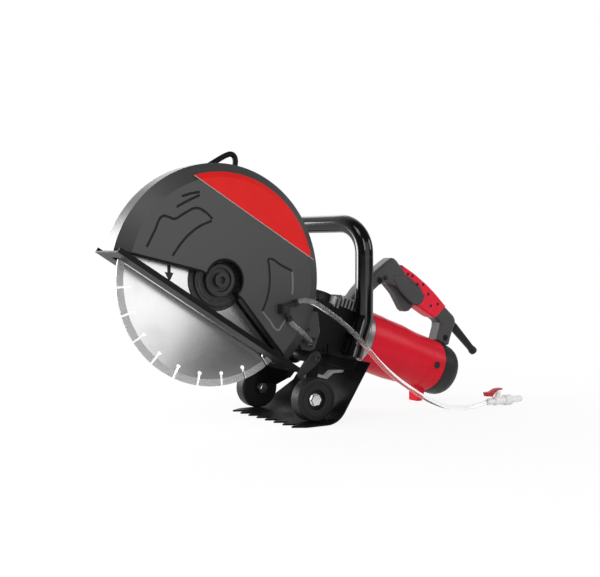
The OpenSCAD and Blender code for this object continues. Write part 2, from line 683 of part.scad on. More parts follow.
module handle_near() color([0.2, 0.2, 0.21]) {
  handle_bulk(motor_y - handle_half, motor_y);
  at_xz(trigger_pivot) bar_y(pin_r, motor_y - slot_half - eps, motor_y);
}
module handle_far() color([0.2, 0.2, 0.21]) {
  handle_bulk(motor_y, motor_y + handle_half);
  at_xz(trigger_pivot) bar_y(pin_r, motor_y, motor_y + slot_half + eps);
}
module soft_grip() color([0.85, 0.08, 0.12]) soft_grip_solid();
module switch_body() color([0.1, 0.1, 0.1]) on_switch() switch_block(0);
module trigger() color([0.14, 0.14, 0.14]) slab(motor_y - trigger_half, motor_y + trigger_half) difference() {
  polygon(trigger_outline);
  translate(trigger_pivot) circle(r = pin_r + run);
}
module lock_button() color("black") at_xz(button_point)
  bar_y(button_d / 2, motor_y - handle_half - button_travel, motor_y - trigger_half - button_travel - 2 * gap);
module handle_screws() color("gray") for (p = handle_screw_points) at_xz(p)
  translate([0, motor_y - handle_half + 2, 0]) {
    bar_y(4, 0, 2);
    bar_y(2, 2, handle_half + 8);
  }
module sleeve_solid() translate([sleeve_point[0], motor_y, sleeve_point[1]]) rotate([0, 90 + sleeve_turn, 0])
  rotate_extrude() polygon([[0, -8], [8.5, -8], [8.5, 8], [8, 14], [6.5, sleeve_len - 14], [8, sleeve_len - 7],
    [6.5, sleeve_len], [0, sleeve_len]]);
module bend_sleeve() color([0.1, 0.1, 0.1]) sleeve_solid();

// Guard: drum with an open near side round the blade bolt, coloured panel, lifting loop and fasteners
guard_inner = guard_r - guard_t;
far_hole_r = boss_r - 16;
module drum_shell() rotate([-90, 0, 0]) rotate_extrude($fn = 128) polygon([[hub_cut_r, -guard_near],
  [guard_r - bevel_w, -guard_near], [guard_r, bevel_h - guard_near], [guard_r, guard_far],
  [far_hole_r, guard_far], [far_hole_r, guard_far - guard_t], [guard_inner, guard_far - guard_t],
  [guard_inner, bevel_h - guard_near + 1], [guard_r - bevel_w - 1, guard_t - guard_near],
  [hub_cut_r, guard_t - guard_near]]);
// Edges of the open side, from the blade centre: front edge down to the bolt, then down to the rear
open_front = [[-184, 49], [-31, 13]];
open_rear = [[25, -22], [128, -147]];
function beyond(a, b, d) = b + d * unit(b - a);
module guard_opening() polygon([beyond(open_front[1], open_front[0], 50),
  beyond(open_front[0], open_front[1], 12), [0, 0], beyond(open_rear[1], open_rear[0], 12),
  beyond(open_rear[0], open_rear[1], 30), [-100, -260], [-300, -100]]);
module drum_room() rotate([-90, 0, 0]) rotate_extrude($fn = 128) polygon([[0, 1 - guard_near],
  [guard_r - bevel_w - 1, 1 - guard_near], [guard_r - 1, bevel_h - guard_near + 1], [guard_r - 1, 0], [0, 0]]);
module edge_strip(p, q, t) {
  n = unit([p[1] - q[1], q[0] - p[0]]);
  polygon([p + gap * n, q + gap * n, q + (t + gap) * n, p + (t + gap) * n]);
}
module above_shoe() on_shoe() box([-400, -100, shoe_t], [400, 100, 500]);
module guard_drum() color([0.22, 0.22, 0.23]) difference() {
  intersection() {
    above_shoe();
    union() {
      at_hub() difference() {
        drum_shell();
        slab(-guard_near - eps, -guard_far) guard_opening();
      }
      at_hub() intersection() {
        drum_room();
        union() {
          slab(1 - guard_near, washer_y - gap) edge_strip(open_rear[0], open_rear[1], guard_t);
          slab(1 - guard_near, -18)
            edge_strip(beyond(open_front[1], open_front[0], 50), open_front[1], guard_t);
        }
      }
    }
  }
  at_hub() guard_screw_places() bar_y(screw_r, -eps, 10);
  at_xz(tee_point) bar_y(screw_r, tee_y[1] - eps, tee_y[1] + guard_t + eps);
}
module guard_panel() color([0.83, 0.1, 0.08]) at_hub() intersection() {
  edge = guard_r - bevel_w;
  drop = (panel_r - edge) * bevel_h / bevel_w;
  rotate([-90, 0, 0]) rotate_extrude($fn = 128) polygon([[50, -guard_near], [50, -guard_near - panel_t],
    [edge, -guard_near - panel_t], [panel_r, drop - guard_near - panel_t], [panel_r, drop - guard_near],
    [edge, -guard_near]]);
  rotate([0, -panel_turn, 0]) box([panel_chord, -100, -300], [300, 100, 300]);
}
loop_points = [for (p = [[-14, -6], [2, 3.5], [14, 10.5], [25, 16], [33, 18], [39, 15], [41.5, 8], [41, 0],
  [39, -9]]) [p[0], 8, guard_r + p[1]]];
module lifting_loop() color([0.15, 0.15, 0.15]) at_hub() difference() {
  hose(loop_points, loop_d / 2, 12);
  bar_y(guard_r, -20, 40);
}
module guard_screw_places() {
  for (a = [0 : 90 : 270]) rotate([0, a, 0]) translate([boss_r - 9, guard_far - guard_t, 0]) children();
}
module guard_screws() color("gray") at_hub() guard_screw_places() {
  bar_y(4.5, -3, 0);
  bar_y(screw_r, 0, guard_t + screw_grip);
}
// Bracket plate from the gear housing to the back of the guard
bracket_y = [-3, 3];
// Points beside the guard, each as its direction from the blade centre and its distance past the guard
function beside_guard(list) = [for (p = list) [-hub_ahead, hub_height] + (guard_r + p[1]) * [cos(p[0]),
  sin(p[0])]];
bracket_points = beside_guard([[-18.2, -4.5], [-16.5, 17.7], [-24.9, 35.2], [-32.5, 38.1], [-38.6, 28.3],
  [-33.6, 3.9]]);
bracket_screw_points = beside_guard([[-26.4, 9.1], [-32.6, 11.2], [-29.1, 29]]);
spray_end = spray_route[len(spray_route) - 1];
spray_aim = heading(spray_route, len(spray_route) - 1);
module guard_bracket() color([0.15, 0.15, 0.15]) difference() {
  union() {
    slab(bracket_y[0], bracket_y[1]) polygon(bracket_points);
    rod(spray_end, spray_end + (bracket_y[0] - spray_end[1] + 2) / spray_aim[1] * spray_aim, hose_d / 2 - 1);
  }
  at_hub() bar_y(guard_r, -100, 100);
  at_xz(pivot) bar_y(cross_r, -20, 20);
  for (p = bracket_screw_points) at_xz(p) bar_y(screw_r, -20, 20);
}
module guard_lugs() difference() {
  slab(bracket_y[1], housing_near + 6)
    polygon([[24, 184], [62, 180], [80, 140], [62, 118], [12, 120], [8, 140]]);
  at_hub() bar_y(guard_r + 1, -100, 100);
}
module bracket_screws() color([0.1, 0.1, 0.1]) for (p = bracket_screw_points) at_xz(p)
  {
    bar_y(4, bracket_y[0] - 3, bracket_y[0]);
    bar_y(screw_r, bracket_y[0], bracket_y[1] + screw_grip);
  }

// Base shoe: folded plate with a slot for the blade, ears at the rear for the wheel bracket
slot_reach = sqrt(pow(blade_r, 2) - pow(shoe_drop - shoe_t, 2)) + shoe_slot_room;
shoe_front = slot_reach + shoe_nose;
shoe_rear = slot_reach + shoe_tail;
module base_shoe() color([0.12, 0.12, 0.12]) on_shoe() {
  difference() {
    box([-shoe_front, -shoe_half, 0], [shoe_rear, shoe_half, shoe_t]);
    box([-slot_reach, -shoe_slot_half, -eps], [slot_reach, shoe_slot_half, shoe_t + eps]);
  }
  for (side = [-1, 1]) {
    low = min(side * shoe_half, side * (shoe_half - shoe_t));
    box([-shoe_front, low, shoe_t], [shoe_rear, low + shoe_t, rail_h]);
  }
}

// Front handle: one bent tube in an upright plane, its near leg folded along the housing's slope
leg_y = housing_near - tube_d / 2 - 1.2;
leg_s = housing_s1 - 5.5 - tube_d / 2;
leg_top = 32;
leg_low = -42;
far_leg_z = 178;
module tube_piece(length) difference() {
  cylinder(d = tube_d, h = length);
  translate([0, 0, -eps]) cylinder(d = tube_d - 2 * tube_t, h = length + 2 * eps);
}
module tube_bend(a0) rotate([90, 0, 0]) rotate_extrude(start = a0, angle = 90, $fn = 48)
  translate([bend_r, 0]) difference() {
    circle(d = tube_d);
    circle(d = tube_d - 2 * tube_t);
  }
// Knuckle between the sloping leg and the upright one
knuckle = [-hub_ahead + leg_s * cos(motor_tilt) + leg_top * sin(motor_tilt), leg_y,
  hub_height - leg_s * sin(motor_tilt) + leg_top * cos(motor_tilt)];
module handle_plane() translate([knuckle[0], leg_y, 0]) rotate([0, 0, 90 + bar_turn]) children();
module front_handle() color([0.05, 0.05, 0.05]) {
  low = bar_z - bend_r;
  far_low = far_leg_z + bend_r;
  on_gears() translate([leg_s, leg_y, leg_low]) tube_piece(leg_top - leg_low);
  translate(knuckle) rotate([0, motor_tilt / 2, 0]) translate([0, 0, -7]) cylinder(d = tube_d + 1.6, h = 14);
  handle_plane() {
    translate([0, 0, knuckle[2]]) tube_piece(low - knuckle[2]);
    translate([bend_r, 0, low]) tube_bend(90);
    translate([bend_r, 0, bar_z]) rotate([0, 90, 0]) tube_piece(bar_len - 2 * bend_r);
    translate([bar_len - bend_r, 0, low]) tube_bend(0);
    translate([bar_len, 0, far_low]) tube_piece(low - far_low);
    translate([bar_len - bend_r, 0, far_low]) tube_bend(270);
    difference() {
      translate([bar_len - bend_r - 80, 0, far_leg_z]) rotate([0, 90, 0]) tube_piece(80);
      rotate([0, 0, -90 - bar_turn])
        box([-200, -50, far_leg_z - 30], [200, housing_far - leg_y, far_leg_z + 30]);
    }
  }
}
// Pads on the housing that the tube is held in
module handle_pads() difference() {
  union() {
    for (n = [leg_low + 6, leg_low + 38])
      box([leg_s - tube_d / 2 - 2, leg_y, n], [leg_s + tube_d / 2 + 2, housing_near + eps, n + 22]);
  }
  translate([leg_s, leg_y, -100]) cylinder(d = tube_d, h = 200);
}

// Wheel bracket: cross tube in the housing's lugs, two arms, wheels on their bolts
module arm_side() difference() {
  hull() {
    translate(pivot) circle(r = 13, $fn = 32);
    translate([0, axle_z]) circle(r = 11, $fn = 32);
  }
  translate([0, axle_z]) circle(d = axle_d);
}
module wheel_bracket() color([0.1, 0.1, 0.1]) {
  slab(wheel_mid - arm_face, wheel_mid - arm_face + arm_t) arm_side();
  slab(wheel_mid + arm_face - arm_t, wheel_mid + arm_face) arm_side();
  at_xz(pivot) bar_y(cross_r, wheel_mid - arm_face + arm_t, wheel_mid + arm_face - arm_t);
}
module wheel() difference() {
  bar_y(wheel_d / 2, -wheel_w / 2, wheel_w / 2);
  bar_y(17, -wheel_w / 2 - eps, 4 - wheel_w / 2 + 6);
  bar_y(axle_d / 2 + run, -wheel_w, wheel_w);
}
module near_wheel() color([0.1, 0.1, 0.1]) translate([0, near_y, axle_z]) wheel();
module far_wheel() color([0.1, 0.1, 0.1]) translate([0, far_y, axle_z]) rotate([0, 0, 180]) wheel();
module wheel_bolt() {
  head = 10 - wheel_w / 2 - gap;
  translate([0, head - 8, 0]) rotate([-90, 0, 0]) cylinder(d = 17 / cos(30), h = 6, $fn = 6);
  bar_y(10.5, head - 2, head);
  bar_y(axle_d / 2, head, wheel_w / 2 + gap + arm_t + 8);
  translate([0, wheel_w / 2 + gap + arm_t, 0]) rotate([-90, 0, 0]) difference() {
    cylinder(d = 17 / cos(30), h = 6, $fn = 6);
    translate([0, 0, -eps]) cylinder(d = axle_d, h = 8);
  }
}
module wheel_bolts() color("silver") {
  translate([0, near_y, axle_z]) wheel_bolt();
  translate([0, far_y, axle_z]) rotate([0, 0, 180]) wheel_bolt();
}

// Splash flap: rubber sheet hung from a strip under the housing and turned forward under the wheels
flap_front = -56;
flap_bend = [8, 42];
flap_wall = 56.5;
function arc_points(c, r, a0, a1, n) = [for (i = [0 : n]) let (a = a0 + (a1 - a0) * i / n)
  c + r * [cos(a), sin(a)]];
flap_len = 100;
module flap_profile() {
  along = [cos(flap_wall), sin(flap_wall)];
  outer = arc_points(flap_bend, flap_bend[1], -90, flap_wall - 90, 10);
  inner = arc_points(flap_bend, flap_bend[1] - flap_t, flap_wall - 90, -90, 10);
  polygon(concat([[flap_front, flap_t], [flap_front, 0]], outer, [outer[10] + flap_len * along,
    inner[0] + flap_len * along], inner));
}
module housing_side() on_gears() box([0, -200, -housing_low], [600, 300, 300]);
module splash_flap() color([0.08, 0.08, 0.08]) difference() {
  slab(flap_mid - flap_w / 2, flap_mid + flap_w / 2) flap_profile();
  pitch = flap_w / flap_teeth;
  for (i = [0 : flap_teeth]) translate([flap_front, flap_mid - flap_w / 2 + i * pitch, -eps])
    linear_extrude(flap_t + 2 * eps) polygon([[-eps, -pitch / 2], [flap_tooth, 0], [-eps, pitch / 2]]);
  translate([0, flap_mid + flap_w / 2, 0]) rotate([90, 0, 90]) linear_extrude(200)
    polygon([[eps, 24], [-34, 54], [-44, 160], [eps, 160]]);
  housing_side();
}
module flap_strip() color([0.1, 0.1, 0.1]) difference() {
  strip_foot = flap_bend + flap_bend[1] * [cos(flap_wall - 90), sin(flap_wall - 90)]
    + (flap_len - 16) * [cos(flap_wall), sin(flap_wall)];
  translate([strip_foot[0], 0, strip_foot[1]]) rotate([0, -flap_wall, 0])
    box([-6, flap_mid - flap_w / 2 + 30, flap_t], [24, flap_mid + flap_w / 2 - 54, flap_t + 4]);
  housing_side();
}

// Water feed: tee on the guard, short spray hose, long hose, ball valve with its lever, quick coupler
module tee_port(p, q) rod([p[0], q[1], p[1]], q, hose_d / 2 - 1);
tee_y = [-guard_near - 14, -guard_near];
module water_tee() color([0.08, 0.08, 0.08]) difference() {
  union() {
    at_xz(tee_point) box([-8, tee_y[0], -8], [8, tee_y[1], 8]);
    tee_port(tee_point + [0, 4], hose_route[0]);
    tee_port(tee_point, spray_route[0]);
  }
  at_xz(tee_point) bar_y(screw_r, tee_y[0] - eps, tee_y[1] + eps);
}
module tee_screw() color("silver") at_xz(tee_point) {
  bar_y(4.5, tee_y[0] - 3, tee_y[0]);
  bar_y(screw_r, tee_y[0], tee_y[1] + guard_t);
}
module spray_hose() color("gainsboro") hose(spray_route, hose_d / 2, hose_sides);
module water_hose() color("gainsboro") hose(hose_route, hose_d / 2, hose_sides);
module at_valve() translate(valve_point) children();
valve_r = 10;
module valve_body() color("white") at_valve() difference() {
  union() {
    bar_x(6, 0, 8);
    bar_x(valve_r, 8, 44);
    translate([26, 0, 0]) cylinder(r = 6, h = 14);
  }
  translate([26, 0, 0]) sphere(r = 7.5);
  translate([26, 0, 0]) cylinder(r = 3 + run, h = 20);
  bar_x(4, 30, 45);
}
module valve_ball() color("silver") at_valve() translate([26, 0, 0]) difference() {
  rotate([0, 90, 0]) rotate_extrude() intersection() {
    circle(r = 7.4);
    translate([3.5, -10]) square([10, 20]);
  }
  box([-10, -10, 7], [10, 10, 10]);
}
module valve_lever() color([0.85, 0.1, 0.1]) at_valve() translate([26, 0, 0]) {
  translate([0, 0, 7]) cylinder(r = 3, h = 7.4);
  translate([0, 0, 14.4]) cylinder(r = 7, h = 4);
  box([-32, -4, 14.4], [0, 4, 18.4]);
}
module quick_coupler() color("white") at_valve() {
  bar_x(9, 44, 70);
  bar_x(inlet_d / 2, 70, 70 + inlet_len);
}

blade_core();
blade_segments();
outer_flange();
inner_flange();
flange_washer();
flange_bolt();
spindle();
bevel_gear();
spindle_bearings();
bearing_retainer();
gear_housing();
gear_cover();
cover_screws();
filler_cap();
pinion_shaft();
reduction_gear();
pinion_bearings();
armature_shaft();
armature_core();
commutator();
cooling_fan();
armature_bearings();
stator_core();
field_coils();
front_ring();
motor_housing();
rear_cap();
brush_holders();
carbon_brushes();
brush_caps();
handle_near();
handle_far();
soft_grip();
trigger();
lock_button();
switch_body();
handle_screws();
bend_sleeve();
guard_drum();
guard_panel();
lifting_loop();
guard_screws();
guard_bracket();
bracket_screws();
base_shoe();
front_handle();
wheel_bracket();
near_wheel();
far_wheel();
wheel_bolts();
splash_flap();
flap_strip();
water_tee();
tee_screw();
spray_hose();
water_hose();
valve_body();
valve_lever();
valve_ball();
quick_coupler();
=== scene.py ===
import math

import bmesh
import bpy
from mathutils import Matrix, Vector


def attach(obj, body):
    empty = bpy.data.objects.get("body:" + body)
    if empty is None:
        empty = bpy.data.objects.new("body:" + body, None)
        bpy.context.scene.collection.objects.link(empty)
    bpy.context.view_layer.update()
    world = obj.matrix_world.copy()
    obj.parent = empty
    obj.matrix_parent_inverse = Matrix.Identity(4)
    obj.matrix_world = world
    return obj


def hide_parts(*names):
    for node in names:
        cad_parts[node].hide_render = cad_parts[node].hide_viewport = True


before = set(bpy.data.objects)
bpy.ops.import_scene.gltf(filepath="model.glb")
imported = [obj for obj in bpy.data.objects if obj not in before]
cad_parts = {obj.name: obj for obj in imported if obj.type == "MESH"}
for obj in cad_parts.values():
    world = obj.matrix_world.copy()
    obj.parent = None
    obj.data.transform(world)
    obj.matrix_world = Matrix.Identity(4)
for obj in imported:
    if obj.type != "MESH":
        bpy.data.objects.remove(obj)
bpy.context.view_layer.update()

# Camera
# It stands to the left of the blade side, about a metre and three quarters away and
# a little above the blade's centre, and looks slightly down.
LOOK_DOWN, LOOK_RIGHT = 0.036, 0.573
bpy.ops.object.camera_add(location=(-0.9267, -1.4540, 0.2907),
                          rotation=(math.pi / 2 - LOOK_DOWN, 0, -LOOK_RIGHT))
camera = bpy.context.object
camera.data.lens = 59.1
camera.data.sensor_width = 36
camera.data.sensor_fit = "HORIZONTAL"
bpy.context.scene.camera = camera
bpy.context.scene.view_settings.view_transform = "Standard"

# Water hose
# A clear vinyl hose, pushed over the barb of the tee on the guard, that falls in front
# of the motor to the floor and ends in the white valve.
MM = 0.001


class Field:
    """A node's output on a surface. Arithmetic on it adds Math nodes."""

    def __init__(self, tree, socket):
        self.tree, self.socket = tree, socket

    def node(self, kind, settings=None, sockets=None, out=0):
        """A new node of a kind, with its settings first and then its sockets' values or links."""
        made = self.tree.nodes.new("ShaderNode" + kind)
        for name, value in (settings or {}).items():
            setattr(made, name, value)
        for name, value in (sockets or {}).items():
            if isinstance(value, Field):
                self.tree.links.new(value.socket, made.inputs[name])
            else:
                made.inputs[name].default_value = value
        return Field(self.tree, made.outputs[out])

    def math(self, operation, first, second):
        return self.node("Math", {"operation": operation}, {0: first, 1: second})

    def __add__(self, other):
        return self.math("ADD", self, other)

    def __radd__(self, other):
        return self.math("ADD", other, self)

    def __sub__(self, other):
        return self.math("SUBTRACT", self, other)

    def __rsub__(self, other):
        return self.math("SUBTRACT", other, self)

    def __mul__(self, other):
        return self.math("MULTIPLY", self, other)

    def __rmul__(self, other):
        return self.math("MULTIPLY", other, self)


def new_finish(name, fixed):
    """A material with its steady values set on the shader, and its Object coordinates."""
    made = bpy.data.materials.new(name)
    made.use_nodes = True
    tree = made.node_tree
    shader = tree.nodes["Principled BSDF"]
    for socket, value in fixed.items():
        shader.inputs[socket].default_value = value
    place = Field(tree, tree.nodes.new("ShaderNodeTexCoord").outputs["Object"])
    return made, shader, place


def feed(shader, sockets):
    """Links what changes over the surface to the shader."""
    for name, field in sockets.items():
        field.tree.links.new(field.socket, shader.inputs[name])


def noise(place, size, detail=2.0, stretch=None):
    """Noise whose lumps are about size millimetres across, longer along stretch."""
    if stretch:
        place = place.node("VectorMath", {"operation": "MULTIPLY"}, {0: place, 1: stretch})
    return place.node("TexNoise", {}, {"Vector": place, "Scale": 1 / (size * MM), "Detail": detail})


def ramp(field, low, high):
    """0 below low, 1 above high, smooth between."""
    return field.node("MapRange", {"interpolation_type": "SMOOTHSTEP"},
                      {"Value": field, "From Min": low, "From Max": high})


def mix(amount, first, second):
    """The first colour where amount is 0, the second where it is 1."""
    first, second = ((*c, 1) if isinstance(c, tuple) else c for c in (first, second))
    return amount.node("Mix", {"data_type": "RGBA"}, {0: amount, 6: first, 7: second}, out=2)


def clear_selection():
    if bpy.context.object and bpy.context.object.mode != "OBJECT":
        bpy.ops.object.mode_set(mode="OBJECT")
    bpy.ops.object.select_all(action="DESELECT")


def threaded(name, points, radius, rings=6):
    """A round bar or hose on one smooth curve through its points, in millimetres."""
    clear_selection()
    bpy.ops.curve.primitive_bezier_curve_add(location=(0, 0, 0))
    made = bpy.context.object
    made.name = name
    line = made.data.splines[0]
    line.bezier_points.add(len(points) - 2)
    for knot, point in zip(line.bezier_points, points):
        knot.co = Vector(point) * MM
        knot.handle_left_type = knot.handle_right_type = "AUTO"
    made.data.dimensions = "3D"
    made.data.resolution_u = 10
    made.data.bevel_depth = radius * MM
    made.data.bevel_resolution = rings
    made.data.use_fill_caps = True
    return made


def dress(piece, finish, body):
    """Gives a piece its material and the body that it rides on."""
    piece.data.materials.clear()
    piece.data.materials.append(finish)
    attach(piece, body)
    return piece


hose_clear, shader, place = new_finish("clear_vinyl", {
    "Transmission Weight": 0.94, "IOR": 1.2, "Coat Weight": 0.6})
haze = noise(place, 18, detail=3)
# The base colour turns grey where the hose is seen edge-on: painted shade along its two edges.
wall = ramp(place.node("LayerWeight", {}, {"Blend": 0.4}, out="Facing"), 0.4, 1.0)
feed(shader, {
    "Base Color": mix(wall, (0.97, 0.97, 0.97), (0.6, 0.61, 0.62)),
    "Roughness": 0.01 + 0.03 * haze})
hose_points = [
    (-23, -37, 205), (-11.5, -38.2, 208.4), (1, -40.3, 208.2), (13, -42.6, 204.6), (26, -45, 197.3),
    (42, -47.4, 187.2), (66, -49.2, 170.8), (96, -50, 146.5), (122, -52, 119), (146, -56, 93.5),
    (173, -62, 68.8), (201, -69, 47.8), (228, -76, 29.8), (250, -82, 18), (274, -87.5, 9.4),
    (300, -91.5, 5), (325, -93.5, 5), (350, -93.5, 7), (374, -92, 10)]
HOSE_R = 4.5
hose = dress(threaded("clear_hose", hose_points, HOSE_R, rings=10), hose_clear, "frame")
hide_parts("water_hose")


# Water valve and coupler
# A moulded white ball valve with a bent red lever, and the white quick coupler that the supply
# hose clips on to. The hose is pushed over the valve's barb, and both lie on the floor.
def bump(height, depth):
    """Fine relief, depth millimetres deep."""
    return height.node("Bump", {}, {"Height": height, "Strength": 1.0, "Distance": depth * MM})


def shades(colour, spread):
    """The colour a little darker and a little lighter."""
    return (tuple(c * (1 - spread) for c in colour), tuple(min(1.0, c * (1 + spread)) for c in colour))


def moulded(name, colour, roughness, grain=0.5, depth=0.02, fixed=None):
    """Moulded plastic or rubber: a fine sparked grain, faint shade changes and rubbed patches."""
    made, shader, place = new_finish(name, fixed or {})
    broad = noise(place, 30, detail=3)
    rubbed = ramp(noise(place, 7, detail=5), 0.45, 0.75)
    feed(shader, {
        "Base Color": mix(broad, *shades(colour, 0.1)),
        "Roughness": roughness - 0.08 + 0.06 * broad + 0.1 * rubbed,
        "Normal": bump(noise(place, grain, detail=1), depth)})
    return made


def wear(node, finish):
    """A CAD solid that keeps its own shape gets its finish."""
    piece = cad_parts[node]
    piece.data.materials.clear()
    piece.data.materials.append(finish)


def take(piece):
    """The next operators work on this piece alone."""
    clear_selection()
    piece.select_set(True)
    bpy.context.view_layer.objects.active = piece


def even_shading(piece, angle=35):
    """Smooths a piece, keeps its sharp edges and leaves its large faces flat."""
    take(piece)
    bpy.ops.object.shade_smooth_by_angle(angle=math.radians(angle))
    even = piece.modifiers.new("even", "WEIGHTED_NORMAL")
    even.keep_sharp = True
    bpy.ops.object.modifier_apply(modifier="even")
    return piece


WELD = 0.02
TURNED_EDGE = 25


def turned(name, base, axis, profile, sides=96, closed=False):
    """A ring is drawn at the first (distance, radius) and extruded from station to station."""
    clear_selection()
    base, axis = Vector(base) * MM, Vector(axis).normalized()
    (s, r), stations = profile[0], profile[1:]
    bpy.ops.mesh.primitive_circle_add(vertices=sides, radius=r * MM, location=base + axis * s * MM,
                                      rotation=axis.to_track_quat("Z", "Y").to_euler())
    made = bpy.context.object
    made.name = name
    bpy.ops.object.transform_apply(location=True, rotation=True, scale=True)
    bpy.ops.object.mode_set(mode="EDIT")
    bpy.ops.mesh.select_all(action="SELECT")
    for s_next, r_next in stations:
        bpy.ops.mesh.extrude_region_move(TRANSFORM_OT_translate={"value": axis * (s_next - s) * MM})
        k = r_next / r
        bpy.ops.transform.resize(value=(k, k, k), center_override=base + axis * s_next * MM)
        s, r = s_next, r_next
    bpy.ops.mesh.select_all(action="SELECT")
    if closed:
        bpy.ops.mesh.remove_doubles(threshold=WELD * MM)
    else:
        bpy.ops.mesh.fill_holes(sides=sides)
    bpy.ops.mesh.normals_make_consistent(inside=False)
    bpy.ops.object.mode_set(mode="OBJECT")
    return even_shading(made, TURNED_EDGE)


def pick_faces(piece, test):
    """In edit mode, selects the faces whose centre, in millimetres, and normal pass the test."""
    bpy.ops.mesh.select_all(action="DESELECT")
    shape = bmesh.from_edit_mesh(piece.data)
    for face in shape.faces:
        if test(face.calc_center_median() / MM, face.normal):
            face.select_set(True)
    bmesh.update_edit_mesh(piece.data)


def notched(piece, test, margin, depth):
    """Presses each face that passes the test inwards, inside a margin."""
    take(piece)
    bpy.ops.object.mode_set(mode="EDIT")
    pick_faces(piece, test)
    bpy.ops.mesh.inset(thickness=margin * MM, depth=-depth * MM, use_individual=True)
    bpy.ops.object.mode_set(mode="OBJECT")
    return even_shading(piece, TURNED_EDGE)


def side_number(rise, reach, sides):
    """Which of a turned piece's sides lies in a direction, counted round its axis."""
    return round(math.atan2(rise, reach) / math.tau * sides - 0.5)


def drawn(name, points):
    """An outline drawn point by point, in millimetres, and filled. It is left in edit mode."""
    clear_selection()
    bpy.ops.mesh.primitive_plane_add(size=MM, location=Vector(points[0]) * MM)
    made = bpy.context.object
    made.name = name
    bpy.ops.object.transform_apply(location=True, rotation=True, scale=True)
    bpy.ops.object.mode_set(mode="EDIT")
    bpy.ops.mesh.select_all(action="SELECT")
    bpy.ops.mesh.merge(type="CENTER")
    for here, there in zip(points, points[1:]):
        step = (Vector(there) - Vector(here)) * MM
        bpy.ops.mesh.extrude_vertices_move(TRANSFORM_OT_translate={"value": step})
    bpy.ops.mesh.select_all(action="SELECT")
    bpy.ops.mesh.edge_face_add()
    return made


def pad(name, outline, back, front, rounding, steps=4):
    """A plate in the upright plane: the outline is drawn at y = back and pulled to front, edge rounded."""
    made = drawn(name, [(x, back, z) for x, z in outline])
    shoulder = front - math.copysign(rounding, front - back)
    bpy.ops.mesh.extrude_region_move(TRANSFORM_OT_translate={"value": (0, (shoulder - back) * MM, 0)})
    bpy.ops.mesh.select_all(action="SELECT")
    bpy.ops.mesh.normals_make_consistent(inside=False)
    pick_faces(made, lambda centre, normal: abs(centre.y - shoulder) < 0.01 and abs(normal.y) > 0.9)
    turns = [math.pi / 2 * k / steps for k in range(steps + 1)]
    for a, b in zip(turns, turns[1:]):
        bpy.ops.mesh.inset(thickness=rounding * (math.cos(a) - math.cos(b)) * MM,
                           depth=rounding * (math.sin(b) - math.sin(a)) * MM)
    bpy.ops.object.mode_set(mode="OBJECT")
    return even_shading(made)


white_plastic = moulded("white_plastic", (0.78, 0.78, 0.77), roughness=0.4,
                        fixed={"Specular IOR Level": 0.3})
lever_red = moulded("lever_red", (0.45, 0.015, 0.02), roughness=0.4, fixed={"Specular IOR Level": 0.3})
VALVE = (374, -92, 10)
FITTING_SIDES = 48
body = turned("valve_barrel", VALVE, (1, 0, 0), [
    (-1, 4.6), (-1, 5.6), (-0.4, 6), (3, 6), (3.4, 5.6), (5, 5.6), (5.4, 6), (9, 6), (9.4, 5.6),
    (11, 5.6), (11.4, 6), (15, 6), (15.4, 7.6), (16, 8.2), (20, 8.2), (20.6, 7.4), (33, 7.4), (33.6, 8.2),
    (38, 8.2), (38.6, 7.6), (39, 6.6), (42, 6.6)], sides=64)
dress(body, white_plastic, "frame")
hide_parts("valve_body")
bonnet = turned("valve_bonnet", (VALVE[0] + 26, VALVE[1], VALVE[2]), (0, 0, 1), [
    (4, 6.6), (10, 6.6), (10.6, 6), (14, 6), (14.6, 5), (19, 5), (19.4, 5.6),
    (21.5, 5.6)], sides=FITTING_SIDES)
dress(bonnet, white_plastic, "frame")
coupler = turned("coupler_barrel", VALVE, (1, 0, 0), [
    (42, 6), (42, 9), (42.8, 9.9), (45, 9.9), (45.6, 9.4), (46.4, 9.4), (47, 9.9), (52, 9.9), (57, 9.9),
    (58, 9), (59, 7), (64, 6.4), (84.8, 5.8), (86, 5.2), (86, 3.6), (80, 3.4)], sides=FITTING_SIDES)
KNURL_FROM, KNURL_MIDDLE, KNURL_TO = 47, 52, 57


def on_knurl(centre, normal):
    """Every other face of the coupler's grip, one row set against the next."""
    row = centre.x > VALVE[0] + KNURL_MIDDLE
    return (KNURL_FROM < centre.x - VALVE[0] < KNURL_TO and abs(normal.x) < 0.1
            and (side_number(normal.z, normal.y, FITTING_SIDES) + row) % 2 == 0)


notched(coupler, on_knurl, margin=0.3, depth=0.6)
dress(coupler, white_plastic, "frame")
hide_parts("quick_coupler")
lever = pad("lever_plate", [
    (366, 28.4), (378, 28.8), (382, 29.6), (386.5, 31.8), (391.5, 33.6), (397, 34.2), (407, 34.2),
    (407, 31.2), (398, 31), (393, 30), (389, 27.8), (386, 24.4), (383.5, 21), (381.5, 19.2), (379, 20.8),
    (368.4, 21)],
    back=VALVE[1] + 5, front=VALVE[1] - 5, rounding=0.8, steps=3)
dress(lever, lever_red, "valve_handle")
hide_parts("valve_lever")
wear("valve_ball", white_plastic)


# Blade
# A steel disc with keyhole slots and 24 diamond segments welded to its rim. The disc is ground
# flat on a turntable, which leaves fine rings; a black arrow is printed near the rim.
HUB_AT = (-155, 0, 246)
HUB = Vector(HUB_AT) * MM


def distance(place, scale):
    """How far a point is from the origin, once each of its coordinates is scaled."""
    flat = place.node("VectorMath", {"operation": "MULTIPLY"}, {0: place, 1: scale})
    return flat.node("VectorMath", {"operation": "LENGTH"}, {0: flat}, out="Value")


